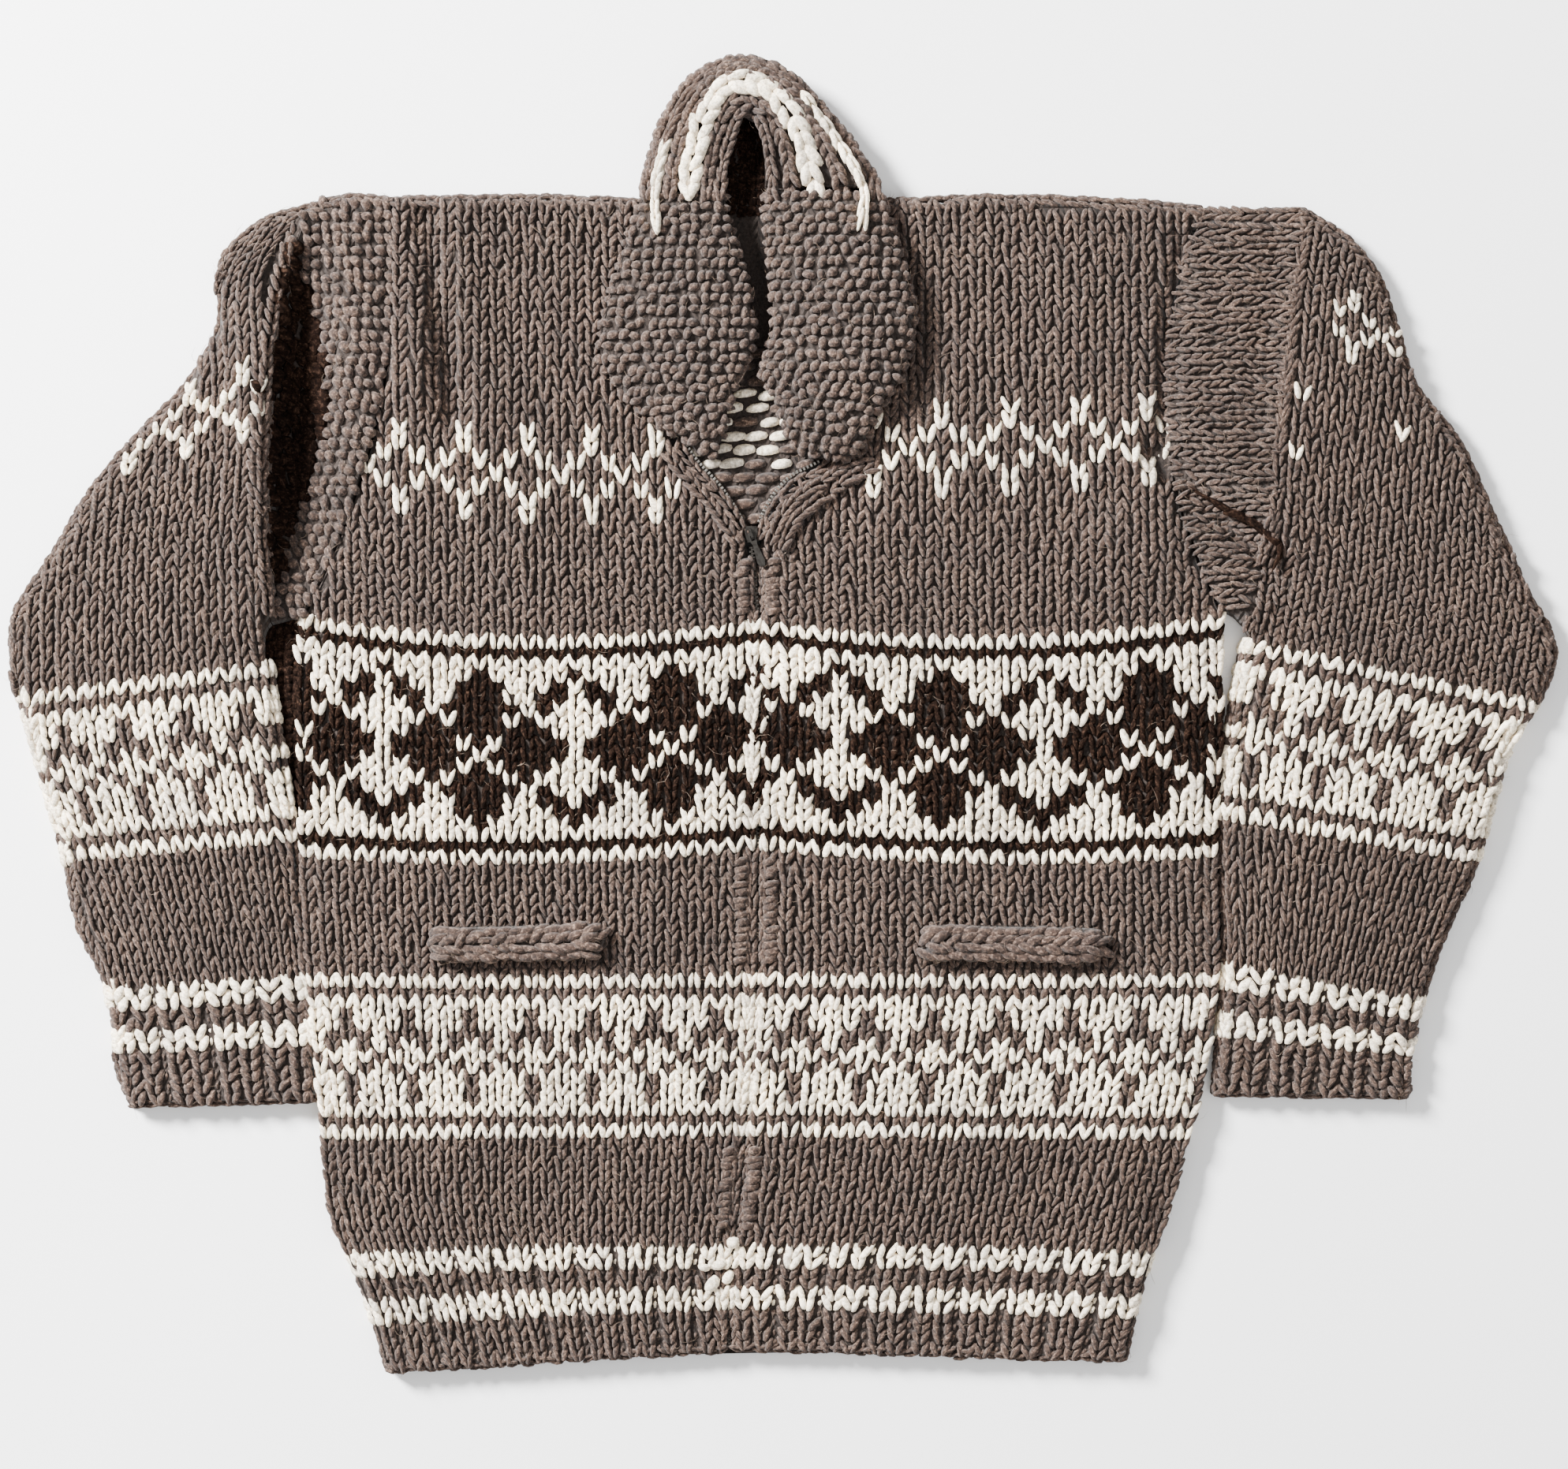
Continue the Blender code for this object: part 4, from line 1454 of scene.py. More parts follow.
@dataclass
class Sleeve:
    """One sleeve: wales run down to the cuff, and a fold at the shoulder shows wales that run across."""

    node: str
    bands: Bands
    rows: Table
    fold: Table
    seam: tuple[float, float, float, float, float]
    outward: float
    cap_outline: Table
    peak: Table
    sprig_wales: tuple[int, int]
    dots: tuple[tuple[int, int], ...]
    creases: tuple[Crease, ...] = ()
    inner_proud: float = 0.0
    cap_form: Form = Form.V
    painted_shade: tuple[tuple[float, float], ...] = ()
    tucks: tuple[Tuck, ...] = ()
    gap_fill: tuple[tuple[float, float], ...] = ()
    turn_row: float = 37.0
    rib_gauge: float = 11.5
    gauge: float = 16.4
    wale_width: float = 9.2
    row_width: float = 6.9
    wales: int = 25
    cap_wales: int = 25

    def line(self, row: Array) -> tuple[Array, Array]:
        """The inner and outer ends of rows."""
        table = smooth(self.rows, row)
        return table[:, :2], table[:, 2:]

    def place(self, centre: Array, row: Array, ribbed: Array) -> Array:
        """Where a wale meets a row.

        Args:
            centre: the wale's middle, counted in wales from the inner edge.
            row: the row.
            ribbed: whether it is in the rib, which has fewer stitches.

        Returns:
            The place in plan.  Above the topmost stripe, wales keep their distance from the fold.
        """
        inner, outer = self.line(row)
        way = outer - inner
        gauge = np.where(ribbed, self.rib_gauge, self.gauge)[:, None]
        spread = inner + way * centre[:, None] / gauge
        even = inner + way / np.linalg.norm(way, axis=1)[:, None] * centre[:, None] * self.wale_width
        return np.where(row[:, None] < self.turn_row, spread, even)

    def stitches(self) -> tuple[Stitches, Stitches]:
        """Lay the stitches whose wales run down the sleeve.

        Returns:
            The knit stitches, and the purl stitches sunk between the ribs.
        """
        top = int(self.rows[-1][0])
        wale, row = (grid.ravel() for grid in np.meshgrid(np.arange(self.wales), np.arange(top)))
        ribbed = row < self.bands.rib_rows
        centre, width = rib_spread(wale, ribbed, self.bands.gap)
        half = 0.5 * width
        middle = self.place(centre, row + 0.5, ribbed)
        across = self.place(centre + half, row + 0.5, ribbed) - self.place(centre - half, row + 0.5, ribbed)
        # A stitch ends just short of the next row, where the wales may start to keep their distance.
        up = self.place(centre, row + 0.999, ribbed) - self.place(centre, row, ribbed)
        inner, outer = self.line(row + 0.5)
        way = outer - inner
        share = np.sum((middle - inner) * way, axis=1) / np.sum(way * way, axis=1)
        surface = Surface([self.node], creases=self.creases)
        keep = surface.covers(middle) & (share < np.where(row < self.turn_row, 1.0, 1.3))
        keep &= surface.covers(middle + 0.5 * up) | (row < self.turn_row)
        shade = np.array([self.shade_of(i, r).value for i, r in zip(wale, row)])
        sunken = np.array([self.bands.sunken(i, r) for i, r in zip(wale, row)])
        run = lay(surface, middle[keep], across[keep], up[keep], shade[keep])
        sunken = sunken[keep]
        purl = run.only(sunken)
        purl.middle[:, 2] -= PURL_DROP
        return run.only(~sunken), purl

    def shade_of(self, wale: int, row: int) -> Shade:
        """The yarn of a stitch: of the sleeve's sprigs only some wales show."""
        if row > self.turn_row + 6:
            low, high = self.sprig_wales
            if (wale, row) in self.dots:
                return Shade.CREAM
            if not low <= wale <= high:
                return Shade.GREY
        return self.bands.shade(wale, row)

    def cap_stitches(self) -> Stitches:
        """Lay the stitches between the armhole seam and the fold, whose wales run across."""
        under_x, under_y, shoulder_x, shoulder_y, bow = self.seam
        t = (np.arange(self.cap_wales) + 0.5) / self.cap_wales
        seam = np.column_stack(
            (
                under_x + (shoulder_x - under_x) * t + 4 * bow * t * (1 - t),
                under_y + (shoulder_y - under_y) * t,
            )
        )
        fold_x = smooth(self.fold, seam[:, 1])[:, 0]
        runs = []
        for (x, y), end in zip(seam, fold_x):
            count = max(1, round(abs(end - x) / self.row_width))
            n = np.arange(count)
            runs.append(np.column_stack((x + self.outward * (n + 0.5) * self.row_width, np.full(count, y))))
        middle = np.concatenate(runs)
        step = (shoulder_y - under_y) / self.cap_wales
        across = np.tile((0.0, self.outward * step), (len(middle), 1))
        up = np.tile((-self.outward * self.row_width, 0.0), (len(middle), 1))
        surface = Surface([self.node], creases=self.creases)
        keep = surface.covers(middle)
        shade = grey(len(middle))
        if self.painted_shade:
            # The deepest part of the fold, where little light falls: its stitches are knitted in the dark
            # brown yarn as painted shade.
            table = np.asarray(self.painted_shade)
            reach = np.interp(middle[:, 1], table[:, 0], table[:, 1], left=-1.0, right=-1.0)
            deep = np.abs(middle[:, 0] - smooth(self.fold, middle[:, 1])[:, 0]) < reach
            shade[deep] = Shade.DARK.value
            across[deep] *= 1.5
            up[deep] *= 1.5
        return lay(surface, middle[keep], across[keep], up[keep], shade[keep])

    def edge_wales(self) -> Stitches:
        """The wales that turn over the sleeve's two edges, and over its top."""
        inner, _ = self.line(np.arange(int(self.turn_row) + 1, dtype=float))
        outline = even_steps(self.cap_outline, 6.9)
        peak = even_steps(self.peak, 6.9)
        runs = [
            turned_edge(outline, left_of(outline) * -self.outward, self.row_shade(outline, 15)),
            turned_edge(
                inner, left_of(inner) * self.outward, self.row_shade(inner, 0), proud=self.inner_proud
            ),
            turned_edge(peak, left_of(peak) * -self.outward, grey(len(peak) - 1), 13.0),
        ]
        return Stitches.join(runs)

    def row_shade(self, line: Array, wale: int) -> Array:
        """The yarns of the stitches along an edge: those of the rows that they end."""
        inner, outer = self.line(np.arange(int(self.rows[-1][0])) + 0.5)
        middle = 0.5 * (line[1:] + line[:-1])
        near_in = np.linalg.norm(middle[:, None] - inner[None], axis=2)
        near_out = np.linalg.norm(middle[:, None] - outer[None], axis=2)
        row = np.argmin(np.minimum(near_in, near_out), axis=1)
        return np.array([self.shade_of(wale, int(r)).value for r in row])

    def fold_wale(self) -> Stitches:
        """The wale that stands along the fold and faces the body."""
        surface = Surface([self.node], creases=self.creases)
        y = np.arange(self.fold[0][0] + 6.0, self.fold[-1][0] - 4.0, 6.8)
        line = np.column_stack((smooth(self.fold, y)[:, 0], y))
        middle = 0.5 * (line[1:] + line[:-1])
        high = surface.heights(middle + (self.outward * 7.0, 0.0))
        low = surface.heights(middle - (self.outward * 6.0, 0.0))
        outward = np.tile((-self.outward, 0.0), (len(middle), 1))
        plain = grey(len(middle))
        rise = high - low
        rim = edge_stitches(line, high - 1.6, outward, 9.5, plain, 50.0, 1.0)
        wall = edge_stitches(line, 0.5 * (high + low) - 2.0, outward, 11.0, plain, 5.0, -1.0)
        return Stitches.join((rim.only(rise > 1.0), wall.only(rise > 3.0)))

    def cast_off(self, level: float, loops: int = 14) -> Stitches:
        """The chain of loops along the cuff, at a height."""
        inner, outer = self.line(np.zeros(1))
        return edge_chain(inner + (outer - inner) * np.linspace(0.0, 1.0, loops + 1)[:, None], level)

    def build(self, maker: StitchMesh) -> list[bpy.types.Object]:
        """Knit the sleeve.

        Args:
            maker: what turns the stitches into meshes.

        Returns:
            Its pieces of knitting.
        """
        knit, purl = self.stitches()
        cap = self.cap_stitches()
        if self.cap_form is Form.V:
            knit = Stitches.join((knit, roughen(cap, 0.0, 0.13, 0.05)))
            pieces = []
        else:
            cap = roughen(cap, 0.40, 0.30, 0.12)
            pieces = knit_pieces(f"{self.node}_cap", cap, GREY_YARN, maker, self.cap_form)
        knit = Stitches.join((knit, self.edge_wales(), self.fold_wale()))
        # The gap between sleeve and body is filled with dark bumps of painted shade.
        if self.gap_fill:
            purl = Stitches.join((purl, painted_shade_bumps(self.gap_fill[0], self.gap_fill[1], 6.0, 3.6)))
        pieces += knit_pieces(f"{self.node}_knit", knit, GREY_YARN, maker)
        pieces += knit_pieces(f"{self.node}_purl", purl, GREY_YARN, maker, Form.BUMP)
        for tuck in self.tucks:
            dark = roughen(tuck.strand(Surface([self.node], blur=2.0)), 0.0, 0.16, 0.10)
            pieces += knit_pieces(f"{self.node}_tuck", dark, GREY_YARN, maker, Form.STRAND)
        bearing = Stitches.join((knit, cap.only(cap.shade == Shade.GREY.value)))
        pieces.append(LooseHairs(maker.seed).build(f"{self.node}_hairs", bearing, HAIR))
        edge = Stitches.join((self.cast_off(10.6), self.cast_off(3.0)))
        pieces += knit_pieces(f"{self.node}_cuff", edge, GREY_YARN, maker)
        return pieces


# ----------------------------------------
# Collar


@dataclass
class Lapel:
    """One lapel: garter bumps in staggered rows, over its top and round both its edges."""

    node: str
    line: Table
    pitch: float = 6.4
    base: float = 16.0
    # The section is walked round from one angle to the other, in degrees, in this many steps.
    arc: tuple[float, float] = (188.0, -8.0)
    looks: int = 160

    def section(self, surface: Surface, left: Array, right: Array) -> tuple[Array, Array]:
        """Walk round one section of the lapel.

        Args:
            surface: the lapel.
            left: the section's left end in plan.
            right: its right end.

        Returns:
            Places on it, and the way that each faces.
        """
        centre = 0.5 * (left + right)
        way = (right - left) / np.linalg.norm(right - left)
        middle = Vector((centre[0] * MM, centre[1] * MM, self.base * MM))
        places = []
        facings = []
        for angle in np.linspace(*np.radians(self.arc), self.looks):
            ray = Vector((way[0] * math.cos(angle), way[1] * math.cos(angle), math.sin(angle)))
            hit = surface.tree.ray_cast(middle + ray * 0.3, -ray)
            if hit[0] is not None:
                places.append(np.array(hit[0]) / MM)
                facings.append(np.array(hit[1]))
        return np.array(places), np.array(facings)

    def stitches(self) -> Stitches:
        """Lay the bumps."""
        surface = Surface([self.node])
        table = np.asarray(self.line, dtype=float)
        steps = np.linalg.norm(np.diff(table[:, [0, 1]] + table[:, [2, 3]], axis=0), axis=1) * 0.5
        count = int(steps.sum() / self.pitch)
        rows = even_curve(table[:, :4], np.linspace(0.012, 0.985, count))
        runs = []
        for k, row in enumerate(rows):
            places, facings = self.section(surface, row[:2], row[2:])
            if len(places) < 4:
                continue
            reach = reach_along(places)
            bumps = max(2, int(reach[-1] / self.pitch))
            at = (np.arange(bumps) + (0.25 if k % 2 else 0.75)) / bumps * reach[-1]
            middle = read_along(at, reach, places)
            across = read_along(at + 4.0, reach, places) - read_along(at - 4.0, reach, places)
            across *= self.pitch / np.linalg.norm(across, axis=1)[:, None].clip(1e-6)
            facing = read_along(at, reach, facings)
            facing /= np.linalg.norm(facing, axis=1)[:, None].clip(1e-6)
            up = np.cross(facing, across)
            runs.append(Stitches(middle, across, up, facing, grey(bumps)))
        return Stitches.join(runs)

    def build(self, maker: StitchMesh) -> list[bpy.types.Object]:
        """Knit the lapel."""
        run = roughen(self.stitches(), 0.42, 0.38, 0.13)
        pieces = knit_pieces(f"{self.node}_garter", run, COLLAR_YARN, maker, Form.GARTER)
        return [*pieces, LooseHairs(maker.seed, 0.9, 12.0).build(f"{self.node}_hairs", run, HAIR)]


@dataclass(frozen=True)
class CollarWale:
    """One wale round the back collar: how far in it lies, and its size, yarn and reach."""

    share: float
    lift: float
    width: float
    pitch: float
    cream: bool = False
    low: float = 314.0
    bare: tuple[float, float] = (2.0, 2.0)
    proud: float = 0.0


@dataclass
class BackCollar:
    """The back collar: wales that follow its arch, some of them cream for part of the way."""

    node: str
    line: Table
    wales: tuple[CollarWale, ...]
    overlap: float = 26.0
    samples: int = 240
    lowest_grey: float = 314.0
    stand_low: tuple[float, float] = (-37.0, 309.0)
    stand_high: tuple[float, float] = (-7.0, 366.0)

    def stitches(self) -> Stitches:
        """Lay the wales round the arch."""
        surface = Surface([self.node, "lapel_right", "lapel_left"], blur=2.5)
        table = np.asarray(self.line, dtype=float)[:, :4]
        first = table[0] - (-1, self.overlap, 0, self.overlap)
        last = table[-1] - (1, self.overlap, 0, self.overlap)
        fine = even_curve(np.vstack((first, table, last)), np.linspace(0.0, 1.0, self.samples))
        bulge = np.sin(np.pi * np.linspace(0.0, 1.0, self.samples)) ** 3
        runs = []
        for wale in self.wales:
            place = wale.share - wale.lift * bulge
            line = fine[:, :2] + (fine[:, 2:] - fine[:, :2]) * place[:, None]
            reach = reach_along(line)
            count = int(reach[-1] / wale.pitch)
            knots = np.linspace(0.0, reach[-1], count + 1)
            line = read_along(knots, reach, line)
            step = np.diff(line, axis=0)
            side = left_of(line)
            width = side / np.linalg.norm(side, axis=1)[:, None] * wale.width
            middle = 0.5 * (line[1:] + line[:-1])
            around = np.linspace(0.0, 1.0, count)
            cream = wale.cream & ((around < wale.bare[0]) | (around > wale.bare[1]))
            shade = np.where(cream, Shade.CREAM.value, Shade.GREY.value)
            keep = middle[:, 1] > np.where(cream, wale.low, self.lowest_grey)
            runs.append(lay(surface, middle[keep], width[keep], step[keep], shade[keep], wale.proud))
        return Stitches.join(runs)

    def rim(self) -> Stitches:
        """The wale round the outside of the fold."""
        table = np.asarray(self.line, dtype=float)
        line = even_curve(table[:, :2], np.linspace(0.0, 1.0, 36))
        outward = left_of(line)
        count = len(outward)
        low = edge_stitches(line, np.full(count, 4.5), outward, 8.5, grey(count))
        heights = np.column_stack((np.arange(len(table)), table[:, 4]))
        height = 7.0 + smooth(heights, np.linspace(0.0, len(table) - 1.0, count))[:, 0]
        high = edge_stitches(line, height * 0.66, outward, 9.0, grey(count))
        return Stitches.join((low, high))

    def stand(self, level: float = 4.0) -> Stitches:
        """The inside of the collar's stand, deep between its two sides, as dark bumps of painted shade."""
        return painted_shade_bumps(self.stand_low, self.stand_high, 6.0, level)

    def build(self, maker: StitchMesh) -> list[bpy.types.Object]:
        """Knit the back collar."""
        run = self.stitches()
        cream = run.shade == Shade.CREAM.value
        pieces = knit_pieces(f"{self.node}_stripe", run.only(cream), COLLAR_YARN, maker, Form.PLUMP)
        ground = Stitches.join((run.only(~cream), self.rim()))
        pieces += knit_pieces(f"{self.node}_knit", ground, COLLAR_YARN, maker, Form.PLUMP)
        pieces += knit_pieces(f"{self.node}_stand", self.stand(), COLLAR_YARN, maker, Form.BUMP)
        return [*pieces, LooseHairs(maker.seed, 0.7, 10.0).build(f"{self.node}_hairs", ground, HAIR)]


@dataclass
class BackPanel:
    """The back: only its inside shows, in the neck, with the purl side and its loose cream floats."""

    node: str
    low: tuple[float, float] = (-74.0, 104.0)
    high: tuple[float, float] = (58.0, 222.0)
    pitch: tuple[float, float] = (14.5, 8.4)
    # The cream floats: from and up to this y, and up to this x.
    floats: tuple[float, float, float] = (150.0, 199.0, 8.0)

    def stitches(self) -> Stitches:
        """Lay the purl bumps that show inside the neck."""
        xs = np.arange(self.low[0], self.high[0], self.pitch[0])
        ys = np.arange(self.low[1], self.high[1], self.pitch[1])
        grid_x, grid_y = np.meshgrid(xs, ys)
        grid_x = grid_x + (np.arange(len(ys)) % 2)[:, None] * self.pitch[0] * 0.5
        middle = np.column_stack((grid_x.ravel(), grid_y.ravel()))
        surface = Surface([self.node])
        middle = middle[surface.covers(middle)]
        count = len(middle)
        across = np.tile((self.pitch[0], 0.0), (count, 1))
        up = np.tile((0.0, self.pitch[1]), (count, 1))
        lowest, highest, rightmost = self.floats
        inside = (middle[:, 1] > lowest) & (middle[:, 1] < highest) & (middle[:, 0] < rightmost)
        # Some floats are missed, in slanting lines.
        column = np.round((middle[:, 0] - self.low[0]) / self.pitch[0] * 2.0).astype(int)
        line = np.round((middle[:, 1] - self.low[1]) / self.pitch[1]).astype(int)
        cream = inside & ((column + 2 * line) % 5 != 0)
        shade = np.where(cream, Shade.CREAM.value, Shade.GREY.value)
        return lay(surface, middle, across, up, shade)

    def build(self, maker: StitchMesh) -> list[bpy.types.Object]:
        """Knit what shows of the back."""
        return knit_pieces(f"{self.node}_purl", self.stitches(), GREY_YARN, maker, Form.BUMP)


# ----------------------------------------
# Pocket welts


@dataclass
class Welt:
    """A pocket welt: two rows of thick strands that lean against each other as in a braid."""

    node: str
    ends: tuple[float, float, float, float]
    pitch: float = 7.6
    strand_length: float = 16.0
    strand_width: float = 8.0
    # Each row of strands: distance above the welt's middle line, slant in degrees, start in pitches.
    strands: tuple[tuple[float, float, float], ...] = (
        (7.0, 12.0, 0.3), (-7.2, -9.0, 0.1), (3.2, 26.0, 0.0), (-2.8, -18.0, 0.5),
    )

    def build(self, maker: StitchMesh) -> list[bpy.types.Object]:
        """Knit the welt.

        Args:
            maker: what turns the stitches into meshes.

        Returns:
            Its pieces.
        """
        surface = Surface([self.node], blur=1.5)
        left = np.array(self.ends[:2])
        right = np.array(self.ends[2:])
        span = np.linalg.norm(right - left)
        way = (right - left) / span
        side = np.array((-way[1], way[0]))
        count = int(span / self.pitch)
        along = (np.arange(count) + 0.5) / count * span
        runs = []
        for offset, turn, start in self.strands:
            angle = math.radians(turn)
            lean = way * math.cos(angle) + side * math.sin(angle)
            over = side * math.cos(angle) - way * math.sin(angle)
            middle = left + way * (along + start * self.pitch)[:, None] + side * offset
            keep = surface.covers(middle)
            total = int(keep.sum())
            up = np.tile(lean * self.strand_length * 0.5, (total, 1))
            across = np.tile(-over * self.strand_width, (total, 1))
            runs.append(lay(surface, middle[keep], across, up, grey(total)))
        run = roughen(Stitches.join(runs), 0.05, 0.13, 0.06)
        pieces = knit_pieces(f"{self.node}_braid", run, WELT_YARN, maker, Form.STRAND)
        return [*pieces, LooseHairs(maker.seed, 3.0, 12.0).build(f"{self.node}_hairs", run, HAIR)]


# ----------------------------------------
# Zip


@dataclass
class Mend:
    """A few thick cream loops where the bottom of the zip was sewn in again by hand."""

    node: str
    # Each loop: x, y, length, width and slant in degrees.
    loops: tuple[tuple[float, float, float, float, float], ...]

    def build(self, maker: StitchMesh) -> list[bpy.types.Object]:
        """Sew the loops."""
        table = np.asarray(self.loops)
        turn = np.radians(table[:, 4])
        along = np.column_stack((np.cos(turn), np.sin(turn)))
        side = np.column_stack((-np.sin(turn), np.cos(turn)))
        surface = Surface([self.node], blur=2.0)
        shade = np.full(len(table), Shade.CREAM.value)
        across = side * -1.4 * table[:, 3:4]
        run = lay(surface, table[:, :PAIR], across, along * 0.52 * table[:, 2:3], shade, 1.6)
        return knit_pieces(f"{self.node}_mend", run, CREAM_YARN, maker, Form.STRAND)


@dataclass
class ZipTeeth:
    """Rows of small cast teeth along a line."""

    node: str
    line: Table
    rows: tuple[tuple[float, float, float], ...]
    finish: MetalFinish
    pitch: float = 2.4
    length: float = 1.5
    base: float = 7.6
    top: float = 11.3
    chamfer: float = 0.35

    def tooth(
        self, centre: Array, along: Array, across: Array, low: float, high: float
    ) -> tuple[Array, Table]:
        """One tooth: a block with its upper edges taken off.

        Args:
            centre: its middle in plan.
            along: the zip's direction.
            across: the way across the zip.
            low: where it starts across the zip.
            high: where it ends.

        Returns:
            Its points and its faces.
        """
        points = []
        for level, inset in ((self.base, 0.0), (self.top - self.chamfer, 0.0), (self.top, self.chamfer)):
            for a, b in ((-1, -1), (1, -1), (1, 1), (-1, 1)):
                s = a * (self.length * 0.5 - inset)
                c = (low + inset) if b < 0 else (high - inset)
                plan = centre + along * s + across * c
                points.append((plan[0], plan[1], level))
        faces = [(3, 2, 1, 0), (8, 9, 10, 11)]
        for ring in (0, 4):
            for k in range(4):
                m = (k + 1) % 4
                faces.append((ring + k, ring + m, ring + 4 + m, ring + 4 + k))
        return np.array(points), faces

    def build(self) -> bpy.types.Object:
        """Make the teeth as one piece.

        Returns:
            The piece.
        """
        line = np.asarray(self.line, dtype=float)
        reach = np.linalg.norm(np.diff(line, axis=0), axis=1).sum()
        verts: list[Array] = []
        faces: list[tuple[int, ...]] = []
        for low, high, start in self.rows:
            count = int((reach - start) / self.pitch)
            places = even_curve(line, (np.arange(count) * self.pitch + start + 0.6) / reach)
            ahead = even_curve(line, (np.arange(count) * self.pitch + start + 1.6) / reach)
            for here, there in zip(places, ahead):
                along = there - here
                size = np.linalg.norm(along)
                if size < 1e-6:
                    continue
                along = along / size
                across = np.array((along[1], -along[0]))
                points, loops = self.tooth(here, along, across, low, high)
                first = sum(len(block) for block in verts)
                verts.append(points)
                faces.extend(tuple(first + i for i in loop) for loop in loops)
        mesh = bpy.data.meshes.new(f"{self.node}_cast")
        mesh.from_pydata((np.concatenate(verts) * MM).tolist(), [], faces)
        mesh.update()
        mesh.materials.append(material_of(self.finish))
        obj = riding(mesh.name, mesh)
        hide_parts(self.node)
        LOG.info("%s: %d teeth", obj.name, len(verts))
        return obj


def dress(node: str, finish: MetalFinish | TapeFinish) -> None:
    """Give a CAD node its finish.

    Args:
        node: the node.
        finish: the finish.
    """
    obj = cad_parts[node]
    if not obj.material_slots:
        obj.data.materials.append(None)
    for slot in obj.material_slots:
        slot.material = material_of(finish)
    LOG.info("%s: %s", node, finish.name)


# ----------------------------------------
# Studio


@dataclass
class Studio:
    """A pale floor, a soft light from the upper left, and a camera straight above."""

    centre: tuple[float, float] = (0.0007, -0.0109)
    view_width: float = 0.960
    lens: float = 85.0
    sensor: float = 36.0
    floor_size: float = 8.0
    floor_drop: float = 0.0006

    def floor(self) -> bpy.types.Object:
        """Lay the floor."""
        half = self.floor_size * 0.5
        mesh = bpy.data.meshes.new("studio_floor")
        corners = [(-half, -half), (half, -half), (half, half), (-half, half)]
        mesh.from_pydata([(x, y, -self.floor_drop) for x, y in corners], [], [(0, 1, 2, 3)])
        mesh.materials.append(material_of(FLOOR))
        obj = bpy.data.objects.new("studio_floor", mesh)
        bpy.context.collection.objects.link(obj)
        obj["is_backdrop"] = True
        return obj

    def camera(self) -> bpy.types.Object:
        """Hang the camera over the garment."""
        data = bpy.data.cameras.new("camera")
        data.lens = self.lens
        data.sensor_width = self.sensor
        obj = bpy.data.objects.new("camera", data)
        obj.location = (*self.centre, self.view_width * self.lens / self.sensor)
        bpy.context.collection.objects.link(obj)
        bpy.context.scene.camera = obj
        return obj

    def light(self, name: str, place: Sequence[float], size: float, power: float) -> bpy.types.Object:
        """Hang a square soft light that points at the garment.

        Args:
            name: the light's name.
            place: where it hangs.
            size: the length of its sides.
            power: its power in watts.

        Returns:
            The light.
        """
        data = bpy.data.lights.new(name, "AREA")
        data.size = size
        data.energy = power
        obj = bpy.data.objects.new(name, data)
        obj.location = place
        obj.rotation_euler = (-Vector(place)).to_track_quat("-Z", "Y").to_euler()
        bpy.context.collection.objects.link(obj)
        return obj

    def sky(self, strength: float) -> None:
        """Fill the room with an even pale light."""
        world = bpy.data.worlds.new("room")
        world.use_nodes = True
        background = world.node_tree.nodes["Background"]
        background.inputs["Color"].default_value = (1.0, 1.0, 1.0, 1.0)
        background.inputs["Strength"].default_value = strength
        bpy.context.scene.world = world

    def build(self) -> None:
        """Set the studio up."""
        self.floor()
        self.camera()
        self.light("key", (-2.2, 1.5, 1.8), 0.8, 720.0)
        self.light("fill", (1.2, -0.8, 2.6), 2.5, 30.0)
        self.sky(0.95)


# ----------------------------------------
# The cardigan's own sizes

FRONT_CREAM = (4, 5, 8, 9, 20, 34, 46, 65)
FRONT_DARK = (47, 64)
RIGHT_BANDS = Bands(FRONT_CREAM, FRONT_DARK, ((22, SMALL_BAND, 2), (48, DIAMONDS, 5), (77, CHEST_SPRIGS, 2)))
LEFT_BANDS = Bands(FRONT_CREAM, FRONT_DARK, ((22, SMALL_BAND, 2), (48, DIAMONDS, -2), (79, CHEST_SPRIGS, 2)))
SLEEVE_CREAM = (5, 6, 9, 10, 22, 36)
SLEEVE_BANDS = Bands(SLEEVE_CREAM, (), ((24, SMALL_BAND, 1), (56, CHEST_SPRIGS, 1)), 11, 0.3)
SLEEVE_BANDS_LEFT = Bands(SLEEVE_CREAM, (), ((24, SMALL_BAND, 1), (64, CHEST_SPRIGS, 0)), 11, 0.3)

# Height of the row lines: row, at the side, at the opening, sag between them.
ROW_LINES = (
    (0, -398, -385, 0),
    (10, -326, -322, 2),
    (20, -256, -254, 0),
    (34, -163, -163, -1),
    (46, -84, -80, -6),
    (65, 55, 52, -11),
    (77, 133, 122, -8),
    (84, 185, 178, -4),
    (104, 316, 313, 0),
)
ROW_LINES_LEFT = ((0, -391, -384, 0), *ROW_LINES[1:])
# Outlines below the chest: y, x.
SIDE_RIGHT = (
    (-398, -241), (-360, -252), (-305, -273), (-237, -280), (-165, -287), (-92, -291), (-20, -293),
    (60, -292.5),
)
OPENING_RIGHT = (
    (-384, -35.5), (-353, -36.5), (-314, -32), (-237, -25), (-162, -20), (-87, -19), (-20, -18), (60, -18),
)
SIDE_LEFT = (
    (-391, 209), (-358, 216), (-307, 231), (-237, 250), (-165, 262), (-87, 262), (-20, 265), (65, 265.5),
)
OPENING_LEFT = (
    (-384, -30.5), (-353, -31.5), (-314, -27), (-237, -20), (-162, -14.5), (-87, -13.5), (-20, -12.5),
    (65, -12.5),
)
